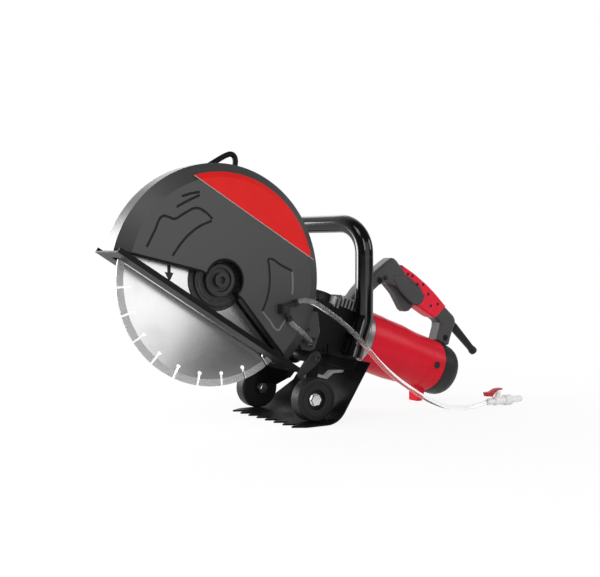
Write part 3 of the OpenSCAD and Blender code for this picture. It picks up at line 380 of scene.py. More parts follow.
def ground(name, colour, roughness, pitch, centre=True):
    """Ground or turned metal: fine rings, round the hub if centred, and a few dull stains."""
    made, shader, place = new_finish(name, {"Metallic": 1.0})
    if centre:
        place = place.node("VectorMath", {"operation": "SUBTRACT"}, {0: place, 1: HUB})
    radius = distance(place, (1, 0, 1))
    rings = radius.node("TexNoise", {"noise_dimensions": "1D"},
                        {"W": radius, "Scale": 1 / (pitch * MM), "Detail": 3})
    stain = ramp(noise(place, 60, detail=4), 0.45, 0.8)
    tint = mix(stain, colour, tuple(c * 0.93 for c in colour))
    feed(shader, {
        "Base Color": mix(rings * 0.6, tint, tuple(c * 0.85 for c in colour)),
        "Roughness": roughness - 0.06 + 0.12 * rings + 0.03 * stain,
        "Normal": bump(rings, depth=0.01)})
    return made


blade_steel = ground("blade_steel", (0.74, 0.74, 0.745), roughness=0.22, pitch=0.8)
wear("blade_core", blade_steel)
segment_grit, shader, place = new_finish("segment_grit", {"Metallic": 0.85})
grit = noise(place, 1.6, detail=4)
feed(shader, {
    "Base Color": mix(ramp(grit, 0.3, 0.7), (0.2, 0.2, 0.2), (0.85, 0.85, 0.84)),
    "Roughness": 0.45 + 0.3 * grit,
    "Normal": bump(grit, depth=0.2)})
wear("blade_segments", segment_grit)
print_black = moulded("print_black", (0.012, 0.012, 0.012), roughness=0.5)
arrow = pad("turn_arrow", [
    (-244.5, 272), (-238.4, 272), (-238.4, 259.6), (-233.4, 258), (-241, 243.8), (-249.2, 260.4),
    (-244.4, 259.4)], back=-1.1, front=-1.28, rounding=0.05, steps=1)
dress(arrow, print_black, "blade")


# Flanges, washer and blade bolt
# Turned steel discs, blackened, that clamp the blade; the washer stands proud of the outer flange
# and takes the socket-headed bolt in its recess.
def edges(place, radius):
    """Near 1 within radius millimetres of an edge, 0 on a flat."""
    rounded = place.node("Bevel", {"samples": 4}, {"Radius": radius * MM})
    straight = place.node("NewGeometry", {}, {}, out="Normal")
    turn = place.node("VectorMath", {"operation": "DOT_PRODUCT"}, {0: rounded, 1: straight}, out="Value")
    return ramp(turn, 0.995, 0.85)


def coated(name, colour, roughness, worn, peel=1.5, depth=0.03, fixed=None):
    """Paint, powder coat or blacking on metal: orange peel, faint blotches, rubbed edges."""
    made, shader, place = new_finish(name, fixed or {})
    broad = noise(place, 45, detail=4)
    rub = edges(place, 0.8) * ramp(noise(place, 5, detail=4), 0.35, 0.65)
    feed(shader, {
        "Base Color": mix(rub, mix(broad, *shades(colour, 0.12)), worn),
        "Roughness": roughness - 0.05 + 0.1 * broad + 0.1 * rub,
        "Normal": bump(noise(place, peel, detail=2), depth)})
    return made


def recast(node, edge=0.6, segments=2):
    """A copy of a CAD solid with its sharp edges rounded, as a mould, a die or a file leaves them."""
    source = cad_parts[node]
    piece = source.copy()
    piece.data = source.data.copy()
    bpy.context.scene.collection.objects.link(piece)
    piece.parent = None
    for key in list(piece.keys()):
        del piece[key]
    piece.name = node + "_finished"
    take(piece)
    bpy.ops.mesh.customdata_custom_splitnormals_clear()
    bpy.ops.object.mode_set(mode="EDIT")
    bpy.ops.mesh.select_all(action="SELECT")
    bpy.ops.mesh.remove_doubles(threshold=WELD * MM)
    bpy.ops.mesh.dissolve_limited(angle_limit=math.radians(0.4))
    bpy.ops.object.mode_set(mode="OBJECT")
    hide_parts(node)
    rounding = piece.modifiers.new("rounding", "BEVEL")
    rounding.width = edge * MM
    rounding.segments = segments
    rounding.limit_method = "ANGLE"
    rounding.angle_limit = math.radians(30)
    bpy.ops.object.modifier_apply(modifier="rounding")
    return even_shading(piece)


black_steel = coated("blacked_steel", (0.021, 0.021, 0.022), roughness=0.36, worn=(0.16, 0.16, 0.165),
                     fixed={"Metallic": 0.2, "Specular IOR Level": 0.5})
AHEAD = (0, -1, 0)
flange = turned("outer_flange_turned", HUB_AT, AHEAD, [
    (1.2, 12.6), (1.2, 51.4), (1.6, 52), (4.2, 52), (4.6, 51.6), (4.6, 50.2), (3.9, 49.8), (3.9, 48.6),
    (4.6, 48.2), (4.6, 46.6), (3.9, 46.2), (3.9, 45), (4.6, 44.5), (5, 44), (8.8, 44), (9.2, 43.6),
    (9.2, 41), (8.5, 40.6), (8.5, 39.4), (9.2, 39), (9.2, 36.4), (8.5, 36), (8.5, 34.8), (9.2, 34.4),
    (9.2, 12.6), (1.2, 12.6)], closed=True)
dress(flange, black_steel, "blade")
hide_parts("outer_flange")
washer = turned("washer_turned", HUB_AT, AHEAD, [
    (9.2, 6.2), (9.2, 27.4), (9.8, 28), (15.8, 28), (17.4, 27.2), (18.2, 25.6), (18.2, 21.4), (17.6, 20),
    (13.6, 19), (13.2, 18.4), (13.2, 6.2), (9.2, 6.2)], closed=True)
dress(washer, black_steel, "blade")
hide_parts("flange_washer")
dress(recast("flange_bolt", edge=0.7), black_steel, "blade")
dress(recast("inner_flange"), black_steel, "blade")

# Gear train
# The spindle, the bevel gear and the reduction gear turn in ball bearings inside the housing.
# They are hardened steel with an oil film.
gear_steel, shader, place = new_finish("gear_steel", {"Metallic": 1.0, "Coat Weight": 0.3})
oil = noise(place, 8, detail=3)
feed(shader, {
    "Base Color": mix(oil, (0.34, 0.34, 0.35), (0.5, 0.5, 0.51)),
    "Roughness": 0.25 + 0.2 * oil,
    "Normal": bump(noise(place, 0.6), depth=0.01)})
for node in ("spindle", "bevel_gear", "spindle_bearings", "bearing_retainer", "pinion_shaft",
             "reduction_gear", "pinion_bearings", "armature_shaft", "armature_bearings"):
    wear(node, gear_steel)

# Motor windings
# The laminated iron, the copper coils, the commutator and the brush gear sit inside the
# motor housing.
core_iron, shader, place = new_finish("core_iron", {"Metallic": 0.8})
sheets = noise(place, 2, detail=1, stretch=(1, 0.02, 0.3))
feed(shader, {
    "Base Color": mix(sheets, (0.12, 0.115, 0.11), (0.24, 0.235, 0.23)),
    "Roughness": 0.45 + 0.2 * sheets,
    "Normal": bump(sheets, depth=0.05)})
copper, shader, place = new_finish("copper", {"Metallic": 1.0})
turns = noise(place, 1.5, detail=1, stretch=(0.2, 1, 1))
feed(shader, {
    "Base Color": mix(turns, (0.42, 0.15, 0.06), (0.7, 0.31, 0.15)),
    "Roughness": 0.25 + 0.2 * turns,
    "Normal": bump(turns, depth=0.1)})
carbon = moulded("carbon", (0.03, 0.03, 0.032), roughness=0.6, grain=0.3)
brass = ground("brass", (0.6, 0.42, 0.16), roughness=0.3, pitch=0.5, centre=False)
for nodes, finish in ((("armature_core", "stator_core"), core_iron), (("commutator", "field_coils"), copper),
                      (("carbon_brushes",), carbon), (("brush_holders",), brass)):
    for node in nodes:
        wear(node, finish)

# Gear housing
# A black-painted aluminium casting with cooling fins on top and ribs below, a screwed cover on the
# far end of the spindle and a filler cap with a notched rim. The fins and the casting's top faces are
# painted light grey: a painted highlight.
black_cast = coated("cast_black", (0.004, 0.004, 0.0045), roughness=0.42, worn=(0.045, 0.045, 0.046),
                    peel=1.1, depth=0.1, fixed={"Specular IOR Level": 0.2})
# Light grey paint for the fins and the casting's top faces: a painted highlight.
fin_painted_highlight = coated("fin_painted_highlight", (0.16, 0.16, 0.162), roughness=0.4, worn=(0.5, 0.5, 0.51),
                   peel=1.1, depth=0.1)
black_plastic = moulded("black_plastic", (0.017, 0.017, 0.018), roughness=0.48,
                        fixed={"Specular IOR Level": 0.25})
TILT = math.radians(20)
ALONG = Vector((math.cos(TILT), 0, -math.sin(TILT)))
RISE = Vector((math.sin(TILT), 0, math.cos(TILT)))


def on_drive(s, y, n):
    """A point s along the motor's slope from the blade centre, y across and n above it, in millimetres."""
    return HUB / MM + ALONG * s + RISE * n + Vector((0, y, 0))


housing = dress(recast("gear_housing", edge=1.2), black_cast, "frame")
housing.data.materials.append(fin_painted_highlight)
# Faces above this height take the light grey: the painted highlight on top.
HIGHLIGHT_ABOVE = 56.6
for face in housing.data.polygons:
    if ((face.center - HUB) / MM).dot(RISE) > HIGHLIGHT_ABOVE:
        face.material_index = 1
dress(recast("gear_cover", edge=1.0), black_cast, "frame")
dress(recast("cover_screws", edge=0.3), black_steel, "frame")
CAP_FOOT, CAP_SIDES = on_drive(238.5, 48, 38), 72
cap = turned("filler_cap_turned", CAP_FOOT, RISE, [
    (0, 12), (0, 19), (0.8, 19.8), (14.6, 19.8), (15.2, 18.8), (16, 18.8), (16.6, 19.8), (18.6, 19.6),
    (19.8, 18.4), (20, 17), (20, 13), (19.2, 12.4), (19.2, 2)], sides=CAP_SIDES)


def on_cap_rim(centre, normal):
    """Every third face round the cap's wall."""
    return (abs(normal.dot(RISE)) < 0.1 and 1 < (centre - CAP_FOOT).dot(RISE) < 14
            and side_number(normal.y, normal.dot(ALONG), CAP_SIDES) % 3 == 0)


notched(cap, on_cap_rim, margin=0.25, depth=0.6)
dress(cap, black_plastic, "frame")
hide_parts("filler_cap")
FINS, LOW_FINS, FIN_START, FIN_PITCH, FIN_T = 9, 2, 244, 8, 3
for k in range(FINS):
    foot, top, back = (34, 53, 22) if k < LOW_FINS else (40, 60, 9)
    corners = [on_drive(FIN_START + FIN_PITCH * k + over, back, n)
               for over, n in ((0, foot), (0, top), (FIN_T, top), (FIN_T, foot))]
    fin = pad(f"cooling_fin_{k}", [(c.x, c.z) for c in corners], back, front=3.4, rounding=0.8, steps=3)
    dress(fin, fin_painted_highlight, "frame")
RIB_HALF, RIB_FOOT, RIB_TOP = 1.6, 110, 127
for k, x in enumerate((57, 67, 76)):
    left, right = x - RIB_HALF, x + RIB_HALF
    rib = pad(f"housing_rib_{k}", [(left, RIB_FOOT), (right, RIB_FOOT), (right, RIB_TOP), (left, RIB_TOP)],
              back=8, front=3.6, rounding=1)
    dress(rib, black_cast, "frame")

# Guard
# Two pressed aluminium dishes joined into one drum, painted satin grey, with grooves and ridges pressed
# into the near face, a black rolled lip round the opening, a red panel and a wire loop. The grooves' faces
# are painted near black as painted shade, the ridges a lighter grey as a painted highlight, and the lip and
# the opening's inner walls near black as painted shade. A bracket plate screws it to the gear housing.
guard_grey = coated("guard_grey", (0.036, 0.0365, 0.037), roughness=0.42, worn=(0.15, 0.15, 0.15),
                    peel=1.2, depth=0.03, fixed={"Specular IOR Level": 0.6})
panel_red = coated("panel_red", (0.6, 0.012, 0.011), roughness=0.36, worn=(0.6, 0.1, 0.09),
                   peel=1.5, depth=0.02, fixed={"Specular IOR Level": 0.12})
sheet_black = coated("sheet_black", (0.006, 0.006, 0.0065), roughness=0.38, worn=(0.04, 0.04, 0.04),
                     peel=1.2, depth=0.04, fixed={"Specular IOR Level": 0.12})
bracket_grey = coated("bracket_grey", (0.05, 0.05, 0.051), roughness=0.4, worn=(0.3, 0.3, 0.3),
                      peel=1.2, depth=0.04, fixed={"Specular IOR Level": 0.3})
OPEN_FRONT = [(-184, 49), (-31, 13)]
OPEN_REAR = [(25, -22), (122, -140)]
LIP_R, LIP_BAND, LIP_SIDE = 34, 4, 20


def beside(point, line):
    """How far a point of the blade's plane is from a line, in millimetres."""
    (x0, z0), (x1, z1) = line
    return abs((x1 - x0) * (point[1] - z0) - (z1 - z0) * (point[0] - x0)) / math.hypot(x1 - x0, z1 - z0)


guard = dress(recast("guard_drum", edge=0.8), guard_grey, "frame")
# The opening's inner walls, round the hub and along its front and rear edges, are painted near black: painted
# shade.
guard.data.materials.append(sheet_black)
for face in guard.data.polygons:
    spot = face.center / MM - HUB / MM
    flat = (spot.x, spot.z)
    on_shaded_lip = (math.hypot(*flat) < LIP_R + 2
              or (spot.x < -LIP_SIDE and beside(flat, OPEN_FRONT) < LIP_BAND)
              or (spot.x > LIP_SIDE and beside(flat, OPEN_REAR) < LIP_BAND))
    if on_shaded_lip and abs(face.normal.y) < 0.5 and spot.y < -5:
        face.material_index = 1


FACE_Y, FLAT_R, BEVEL_DEPTH, BEVEL_WIDTH = -30, 169, 16, 24


def on_near_face(x, z, proud):
    """A point on the drum's near face and its bevel, from the blade centre."""
    bevel = max(0, math.hypot(x, z) - FLAT_R)
    return (x + HUB_AT[0], FACE_Y - proud + bevel * BEVEL_DEPTH / BEVEL_WIDTH, z + HUB_AT[2])


def between(line, count):
    """Points at even steps from one end of a line to the other."""
    (x0, z0), (x1, z1) = line
    return [(x0 + (x1 - x0) * k / count, z0 + (z1 - z0) * k / count) for k in range(count + 1)]


LIP_FROM, LIP_SWEEP, LIP_STEPS = 157, 198, 24
lip_turns = [math.radians(LIP_FROM - LIP_SWEEP * k / LIP_STEPS) for k in range(1, LIP_STEPS)]
lip_path = between(OPEN_FRONT, 12)
lip_path += [(LIP_R * math.cos(a), LIP_R * math.sin(a)) for a in lip_turns]
lip_path += between(OPEN_REAR, 12)
# The rolled lip along the opening is near black: painted shade.
lip = threaded("guard_lip_painted_shade", [on_near_face(x, z, proud=0.2) for x, z in lip_path], radius=1.9)
dress(lip, sheet_black, "frame")


def meshed(rod):
    """A curve becomes a mesh."""
    take(rod)
    bpy.ops.object.convert(target="MESH")
    return bpy.context.object


# Near-black paint for the faces that each groove cuts: painted shade in the grooves.
groove_painted_shade = coated("groove_painted_shade", (0.02, 0.02, 0.021), roughness=0.5, worn=(0.05, 0.05, 0.05),
                     fixed={"Specular IOR Level": 0.1})
guard.data.materials.append(groove_painted_shade)
pressed_grooves = {
    "upper": [(-232, 381), (-216, 386), (-200, 389)],
    "lower": [(-241, 364), (-220, 375), (-200, 384)],
    "left_top": [(-293, 300), (-279, 326), (-265, 349), (-256, 348), (-246, 345), (-226, 355), (-206, 363),
                 (-190, 357), (-177, 346)],
    "left_base": [(-178, 343), (-198, 335), (-215, 324), (-232, 308), (-243, 294), (-249, 286)],
    "right": [(-24, 260), (-48, 271), (-66, 281), (-71, 280), (-70, 270), (-69, 237), (-74, 214), (-83, 193)]}
for name, line in pressed_grooves.items():
    groove = meshed(threaded("groove_" + name, [(x, FACE_Y - 0.5, z) for x, z in line], radius=2.3))
    groove.data.materials.append(groove_painted_shade)
    cut = guard.modifiers.new("groove", "BOOLEAN")
    cut.operation, cut.object, cut.material_mode = "DIFFERENCE", groove, "TRANSFER"
    take(guard)
    bpy.ops.object.modifier_apply(modifier="groove")
    bpy.data.objects.remove(groove)
even_shading(guard)
edge_grey = coated("edge_grey", (0.3, 0.29, 0.28), roughness=0.45, worn=(0.4, 0.4, 0.4))
# Lighter grey for the raised ridges: a painted highlight along them.
ridge_painted_highlight = coated("ridge_painted_highlight", (0.13, 0.13, 0.132), roughness=0.44, worn=(0.3, 0.3, 0.3),
                    peel=1.2, depth=0.03)
for name, line in (("edge", [(-24, 258), (-23, 246), (-23, 234), (-24, 220)]),
                   ("base", [(-83, 192), (-68, 175), (-55, 160), (-51, 160), (-44, 168), (-36, 179)])):
    ridge = threaded("pressed_ridge_" + name, [(x, FACE_Y + 0.4, z) for x, z in line], radius=1.9)
    dress(ridge, ridge_painted_highlight, "frame")
dress(recast("guard_panel", edge=0.2), panel_red, "frame")
panel_edge = threaded("panel_edge", [(x, FACE_Y - 0.4, z) for x, z in ((-209, 415), (19.4, 279.2))],
                      radius=0.8)
dress(panel_edge, edge_grey, "frame")
loop = threaded("wire_loop", [(x + HUB_AT[0], 8, z + HUB_AT[2]) for x, z in (
    (-14, 187), (2, 196.5), (14, 203.5), (25, 209), (33, 211), (39, 208), (41.5, 201), (41, 193),
    (39, 184))], radius=4.75, rings=8)
dress(loop, sheet_black, "frame")
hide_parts("lifting_loop")
dress(recast("guard_bracket", edge=0.8), bracket_grey, "frame")
dress(recast("guard_screws", edge=0.3), black_steel, "frame")
dress(recast("bracket_screws", edge=0.4), black_steel, "frame")

# Shoe
# A folded steel plate under the guard, painted black, with a slot for the blade and a rail on each
# side. The drum stands on top of it.
dress(recast("base_shoe", edge=0.5), sheet_black, "frame")

# Motor housing
# A red moulded barrel with a shallow step and a parting groove, behind a bare turned ring, with a
# foot underneath. The black rear cap has cooling slots in its end, and a black fan turns inside.
red_plastic = moulded("red_plastic", (0.6, 0.007, 0.022), roughness=0.36,
                      fixed={"Specular IOR Level": 0.15})
bare_alu = ground("bare_alu", (0.33, 0.33, 0.335), roughness=0.4, pitch=0.6, centre=False)
MOTOR_Y, MOTOR_RISE = 50, 3
MOTOR = on_drive(0, MOTOR_Y, MOTOR_RISE)
barrel = turned("motor_barrel", MOTOR, ALONG, [
    (345.2, 50), (345.2, 55.2), (346, 56), (383, 56), (384, 55.7), (384.4, 55), (434, 55), (452, 53.4),
    (470, 52), (497.2, 52), (497.8, 51.4), (499, 51.4), (499.6, 52), (530.6, 52), (531.6, 51.4),
    (531.8, 50)], sides=128)
dress(barrel, red_plastic, "frame")
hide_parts("motor_housing")
foot = pad("motor_foot", [(309.4, 0.2), (321.3, 0.2), (330.4, 25), (309.4, 32)],
           back=63, front=37.2, rounding=1)
dress(foot, red_plastic, "frame")
ring = turned("front_ring_turned", MOTOR, ALONG, [
    (328.2, 50), (328.2, 55.6), (328.6, 56), (333, 56), (333.5, 55.3), (334.5, 55.3), (335, 56),
    (344.4, 56), (344.8, 55.6), (344.8, 50)], sides=128)
dress(ring, bare_alu, "frame")
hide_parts("front_ring")
REAR_END, REAR_SIDES = 573, 96
rear = turned("rear_cap_turned", MOTOR, ALONG, [
    (532.2, 49), (532.2, 51.4), (532.8, 52), (536.2, 52), (536.8, 51.3), (537.8, 51.3), (538.4, 51.8),
    (556, 51.3), (563, 50), (568, 48), (571.4, 45.8), (REAR_END, 43.2), (REAR_END, 22),
    (572.2, 21), (572.2, 2)], sides=REAR_SIDES)


def on_rear_face(centre, normal):
    """Every third face of the ring on the rear cap's end."""
    out = centre - MOTOR
    return (normal.dot(ALONG) > 0.99 and 25 < (out - ALONG * REAR_END).length < 42
            and side_number(out.y, out.z, REAR_SIDES) % 3 == 0)


notched(rear, on_rear_face, margin=0.5, depth=2.5)
dress(rear, black_plastic, "frame")
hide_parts("rear_cap")
dress(recast("brush_caps", edge=0.5), black_plastic, "frame")
wear("cooling_fan", black_plastic)


# Rear handle
# Two dark moulded halves screwed together round the switch, with a soft red grip moulded over them,
# a long trigger, a lock button and the tapered bend sleeve of the cord.
def eased(outline, rounds):
    """A closed outline with its corners cut again and again, as a template is filed."""
    for _ in range(rounds):
        outline = [(a[0] * k + b[0] * (1 - k), a[1] * k + b[1] * (1 - k))
                   for a, b in zip(outline, outline[1:] + outline[:1]) for k in (0.75, 0.25)]
    return outline


handle_grey = moulded("handle_grey", (0.054, 0.055, 0.056), roughness=0.46,
                      fixed={"Specular IOR Level": 0.25})
grip_red = moulded("grip_red", (0.68, 0.012, 0.034), roughness=0.46, fixed={"Specular IOR Level": 0.18})
handle_outline = [
    (135, 197), (150, 208), (168, 229), (205, 257), (239, 280), (247, 282), (255, 278), (264, 267.5),
    (274, 263), (298, 249.5), (327, 229.5), (348, 212.5), (362, 199.5), (374, 188), (391, 174),
    (403.5, 163), (407, 152), (400, 138), (393, 120), (388, 103), (357, 116), (359, 126), (367, 150),
    (361, 158), (336, 171), (305, 189), (234, 238), (207, 226), (183, 199), (177, 183)]
grip_outline = [
    (268, 267.5), (274, 264.2), (298, 250.7), (327, 230.7), (348, 213.8), (362, 200.8), (374, 189.3),
    (379, 184.5), (372, 179), (361, 169.5), (352, 162.6), (345, 165), (336, 170), (320, 179.3),
    (306, 188.4), (317, 196), (321, 206), (309, 224), (290, 238), (273, 249), (266, 260)]
palm_outline = [
    (238, 246), (262, 250), (285, 236), (306, 222), (317, 208), (318, 199), (306, 191), (298, 188),
    (268, 210)]
dot_places = (
    (280.5, 250), (291.5, 246), (304.6, 230), (318.5, 229), (331.8, 210.1), (338.2, 187), (356, 189.6))
MIDDLE = MOTOR_Y
HALF_OUT, GRIP_OUT, BEAD_OUT, PALM_IN, PALM_OUT = 17, 17.9, 16.8, 14, 19
for side, sign, rounding in (("near", -1, 7), ("far", 1, 9)):
    half = pad("handle_half_" + side, eased(handle_outline, rounds=1),
               back=MIDDLE, front=MIDDLE + sign * HALF_OUT, rounding=rounding, steps=5)
    dress(half, handle_grey, "frame")
    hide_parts("handle_" + side)
    grip = pad("grip_half_" + side, grip_outline,
               back=MIDDLE, front=MIDDLE + sign * GRIP_OUT, rounding=4, steps=5)
    dress(grip, grip_red, "frame")
    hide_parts("soft_grip")
    palm = pad("palm_panel_" + side, eased(palm_outline, rounds=3),
               back=MIDDLE + sign * PALM_IN, front=MIDDLE + sign * PALM_OUT, rounding=4, steps=6)
    dress(palm, handle_grey, "frame")
    bead = threaded("arm_bead_" + side, [(x, MIDDLE + sign * BEAD_OUT, z) for x, z in (
        (197, 245), (213, 257), (232, 269.5), (240, 272))], radius=0.9)
    dress(bead, handle_grey, "frame")
    for k, (x, z) in enumerate(dot_places):
        dot = turned(f"grip_dot_{side}_{k}", (x, MIDDLE + sign * PALM_IN, z), (0, sign, 0), [
            (0, 3.3), (3.9, 3.3), (4.2, 2.8), (4, 1.6)], sides=20)
        dress(dot, black_plastic, "frame")
dress(recast("trigger", edge=2.5, segments=4), handle_grey, "trigger")
dress(recast("lock_button", edge=0.6), black_plastic, "lock_button")
wear("switch_body", black_plastic)
dress(recast("handle_screws", edge=0.4), black_cast, "frame")
# A near-black recess ring round each handle screw: painted shade in the screw holes.
for k, (x, z) in enumerate(((212, 239), (377, 122))):
    shaded_well = turned(f"screw_recess_painted_shade_{k}", (x, MIDDLE - HALF_OUT, z), AHEAD, [
        (-1, 6.2), (0.4, 6.2), (0.8, 5.6), (0.8, 4.8), (0.2, 4.2), (0.2, 2.4), (0.1, 0.6)], sides=40)
    dress(shaded_well, black_cast, "frame")
black_rubber = moulded("black_rubber", (0.015, 0.015, 0.0155), roughness=0.5, grain=0.7, depth=0.04,
                       fixed={"Specular IOR Level": 0.18})
sleeve = turned("bend_sleeve_turned", (404, MIDDLE, 150), (0.723, 0, -0.691), [
    (-6, 6), (-6, 8.4), (7, 8.6), (8, 7.8), (10, 7.8), (11, 8.8), (74, 7), (79, 7.2), (83, 8.4),
    (87, 8.4), (90, 7.4), (91, 4.5)], sides=48)
dress(sleeve, black_rubber, "frame")
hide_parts("bend_sleeve")

# Front handle
# One steel tube, bent cold and powder coated gloss black. It rises from the housing's near side,
# runs across the machine and comes down to the far side.
tube_black = coated("gloss_black", (0.002, 0.002, 0.0022), roughness=0.12, worn=(0.01, 0.01, 0.01),
                    peel=5, depth=0.01)
TUBE_R, BEND, BAR_Z, LOW_Z, BAR_LEN = 16.5, 55, 345, 178, 205
LEG_S, LEG_Y = 306, -10.7
BAR_TURN = math.radians(15)
knuckle = on_drive(LEG_S, LEG_Y, 32)
across = Vector((-math.sin(BAR_TURN), math.cos(BAR_TURN), 0))


def in_handle_plane(reach, z):
    """A point of the upright plane of the loop, reach millimetres across from the near leg."""
    return Vector((knuckle.x, knuckle.y, 0)) + across * reach + Vector((0, 0, z))


quarter = [math.pi / 2 * k / 10 for k in range(11)]
tube_path = [on_drive(LEG_S, LEG_Y, n) for n in (-42, -30, -15, 0, 12, 20, 26)]
tube_path += [in_handle_plane(0, z) for z in (177, 183, 192, 215, 240, 265, 280)]
tube_path += [in_handle_plane(BEND - BEND * math.cos(a), BAR_Z - BEND + BEND * math.sin(a)) for a in quarter]
tube_path += [in_handle_plane(reach, BAR_Z) for reach in (70, 100, 135)]
tube_path += [in_handle_plane(BAR_LEN - BEND + BEND * math.sin(a), BAR_Z - BEND + BEND * math.cos(a))
              for a in quarter]
tube_path += [in_handle_plane(BAR_LEN, z) for z in (275, 260, 245)]
tube_path += [in_handle_plane(BAR_LEN - BEND + BEND * math.cos(a), LOW_Z + BEND - BEND * math.sin(a))
              for a in quarter]
tube_path += [in_handle_plane(reach, LOW_Z) for reach in (140, 127)]
tube = meshed(threaded("handle_tube", tube_path, TUBE_R, rings=12))
dress(even_shading(tube), tube_black, "frame")
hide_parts("front_handle")

# Wheels and splash flap
# Two rubber wheels on zinc-plated bolts in a bent bracket, which is bolted to a lug of the shoe, and a
# rubber flap that lies under them, with teeth cut in its front edge, and bends up behind them. A plated
# strap ties the bracket to the flap.
zinc = ground("zinc", (0.78, 0.79, 0.8), roughness=0.22, pitch=0.6, centre=False)
wheel_profile = [
    (-14, 7), (-14, 33), (-13, 35.6), (-11, 37), (-8, 37.5), (8, 37.5), (11, 37), (13, 35.6), (14, 33),
    (14, 30.6), (13.3, 30.1), (13.3, 28.7), (14, 28.2), (14, 19.4), (13, 17.6), (11, 17), (4.4, 16.8),
    (4, 16.2), (4, 7), (-14, 7)]
AXLE_Z = 40.9
for name, y, sign in (("near_wheel", -58, -1), ("far_wheel", 132, 1)):
    wheel = turned(name + "_turned", (0, y, AXLE_Z), (0, sign, 0), wheel_profile, closed=True)
    dress(wheel, black_rubber, name)
    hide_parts(name)
dress(recast("wheel_bracket", edge=0.6), sheet_black, "frame")
dress(recast("wheel_bolts", edge=0.5), zinc, "frame")
web = pad("arm_web", [
    (8, 78), (21.6, 87.2), (42.8, 78), (75, 66.5), (64, 55), (60, 55), (30, 43), (20, 48)],
    back=117.2, front=115, rounding=0.6, steps=2)
dress(web, sheet_black, "frame")
LUG_FACE = -47.5
lug = pad("shoe_lug", eased([
    (-24, 84), (-12, 80), (6, 91), (20, 102), (25, 110), (22, 119), (13, 122), (4, 118), (-10, 102),
    (-20, 93)], rounds=1), back=LUG_FACE + 3, front=LUG_FACE, rounding=1)
dress(lug, black_steel, "frame")
pivot_head = turned("pivot_head", (14, LUG_FACE, 111), AHEAD, [
    (0, 5), (0, 8.4), (0.4, 8.8), (1.4, 8.8), (1.8, 8.4), (1.8, 6.4), (5.4, 6.4), (6.2, 5.6), (6.2, 3.2),
    (3.4, 3), (3.4, 1)], sides=48)
dress(pivot_head, black_steel, "frame")
strap = pad("flap_strap", [
    (10.5, 103), (14.6, 79.4), (22.8, 76), (45.6, 69.6), (59.4, 79.2), (84, 79.2), (84, 83.3), (57, 83.9),
    (44.6, 75.2), (24, 80.8), (17.8, 82.8), (14, 103)], back=-22, front=-34, rounding=0.4, steps=2)
strap_zinc = coated("strap_zinc", (0.42, 0.42, 0.43), roughness=0.32, worn=(0.6, 0.6, 0.61),
                    peel=2, depth=0.02, fixed={"Metallic": 0.3})
dress(strap, strap_zinc, "frame")
flap_rubber = moulded("flap_rubber", (0.004, 0.004, 0.0042), roughness=0.5, grain=0.7, depth=0.04,
                      fixed={"Specular IOR Level": 0.1})
dress(recast("splash_flap", edge=0.8), flap_rubber, "frame")
dress(recast("flap_strip", edge=0.4), sheet_black, "frame")

# Water tee
# A black moulded tee screwed to the guard, the short clear hose that leads down to the bracket, and
# a crimped ferrule on each hose where it leaves the tee.
dress(recast("water_tee", edge=0.8), black_plastic, "frame")
dress(recast("tee_screw", edge=0.3), black_steel, "frame")
boss = turned("tee_boss", (-45, -44, 196), AHEAD, [
    (-8, 3.6), (-8, 7.4), (1.6, 7.4), (2.4, 6.8), (2.4, 4.4), (-3, 3.8), (-8, 3.6)], sides=48, closed=True)
dress(boss, black_plastic, "frame")
spray_points = [
    (-35, -37, 180), (-30, -37, 172), (-20, -38, 163), (-8, -36, 155), (3, -31, 148), (14, -24, 141),
    (23, -16, 135), (28, -9, 131)]
spray = dress(threaded("spray_tube", spray_points, HOSE_R), hose_clear, "frame")
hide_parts("spray_hose")
for name, route in (("hose", hose_points), ("spray", spray_points)):
    heading = Vector(route[1]) - Vector(route[0])
    ferrule = turned(name + "_ferrule", route[0], heading, [
        (-1, 4.7), (-1, 5.4), (-0.6, 5.8), (1.4, 5.8), (1.8, 5.3), (3, 5.3), (3.4, 5.8), (5, 5.8),
        (5.4, 5.4), (5.4, 4.7), (-1, 4.7)], sides=40, closed=True)
    dress(ferrule, black_plastic, "frame")

# Stage
# A plain pale floor that runs into a white room, which is dimmer on the camera's side, and soft lamps.
# The blade mirrors the wide lamp in front and, on its right, a dark card that only reflections show.
bpy.ops.mesh.primitive_plane_add(size=14, location=(0, 0, -0.0005))
floor = bpy.context.object
floor.name = "floor"
floor_pale = bpy.data.materials.new("floor_pale")
floor_pale.use_nodes = True
tree = floor_pale.node_tree
tree.nodes.remove(tree.nodes["Principled BSDF"])
spot = Field(tree, tree.nodes.new("ShaderNodeTexCoord").outputs["Object"])
seen = spot.math("MAXIMUM", spot.node("LightPath", out="Is Camera Ray"),
                 spot.node("LightPath", out="Is Glossy Ray"))
seen = spot.math("MAXIMUM", seen, spot.node("LightPath", out="Is Transmission Ray"))
share = 0.88 + 0.12 * ramp(distance(spot, (1, 1, 0)), 0.3, 1.1)
matt = spot.node("BsdfDiffuse", {}, {"Color": (0.9, 0.9, 0.9, 1)})
glow = spot.node("Emission", {}, {"Color": (1, 1, 1, 1), "Strength": 1.0})
shown = spot.node("MixShader", {}, {0: seen * share, 1: matt, 2: glow})
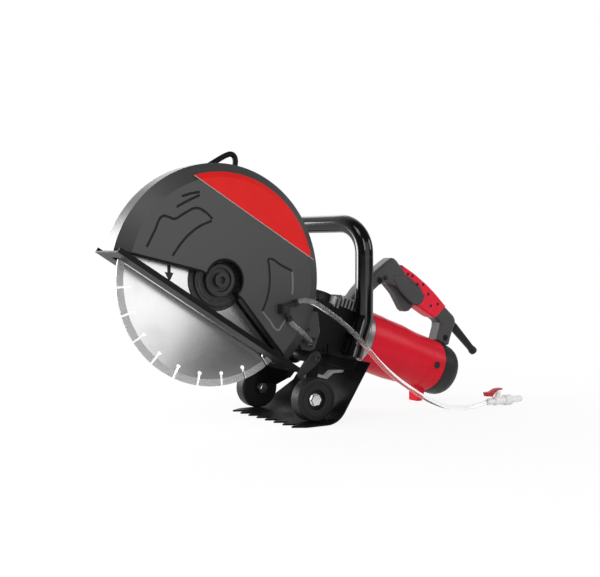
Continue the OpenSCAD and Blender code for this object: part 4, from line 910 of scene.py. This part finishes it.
tree.links.new(shown.socket, tree.nodes["Material Output"].inputs["Surface"])
floor.data.materials.append(floor_pale)

card = drawn("dark_card", [(-100, -380, 1), (260, -800, 200), (1400, -800, 200), (1100, -380, 1)])
bpy.ops.object.mode_set(mode="OBJECT")
card.visible_camera = card.visible_diffuse = card.visible_shadow = False
card.data.materials.append(moulded("card_black", (0.03, 0.03, 0.03), roughness=0.8))

world = bpy.data.worlds.new("white_room")
bpy.context.scene.world = world
world.use_nodes = True
tree = world.node_tree
heading = Field(tree, tree.nodes.new("ShaderNodeTexCoord").outputs["Generated"])
depth = heading.node("SeparateXYZ", {}, {0: heading}, out="Y")
shown = heading.math("MAXIMUM", heading.node("LightPath", out="Is Camera Ray"),
                     heading.node("LightPath", out="Is Transmission Ray"))
light = 0.45 + 0.55 * shown
room = 0.08 + 0.92 * ramp(depth, -0.1, 0.6)
light = light + heading.node("LightPath", out="Is Glossy Ray") * (room - light)
tree.nodes["Background"].inputs["Color"].default_value = (1, 1, 1, 1)
tree.links.new(light.socket, tree.nodes["Background"].inputs["Strength"])

for lamp_name, stand, target, width, height, power in (
        ("softbox", (0.3, -1.96, 0.55), (0.1, 0, 0.22), 2.0, 1.5, 10),
        ("strip", (-0.62, -1.62, 0.95), (0.1, 0, 0.25), 0.4, 0.9, 6),
        ("key", (-1.1, -0.8, 1.8), (0, 0, 0.2), 0.7, 0.7, 7),
        ("fill", (1.7, -1.0, 0.9), (0.1, 0, 0.2), 0.7, 0.7, 6),
        ("rim", (-0.95, 1.0, 0.5), (-0.3, 0, 0.3), 0.7, 0.7, 22),
        ("back", (0.6, 1.8, 1.6), (0, 0, 0.2), 1.2, 1.2, 10)):
    aim = Vector(target) - Vector(stand)
    bpy.ops.object.light_add(type="AREA", location=stand, rotation=aim.to_track_quat("-Z", "Y").to_euler())
    lamp = bpy.context.object
    lamp.name = lamp_name
    lamp.data.shape = "RECTANGLE"
    lamp.data.size, lamp.data.size_y = width, height
    lamp.data.energy = power
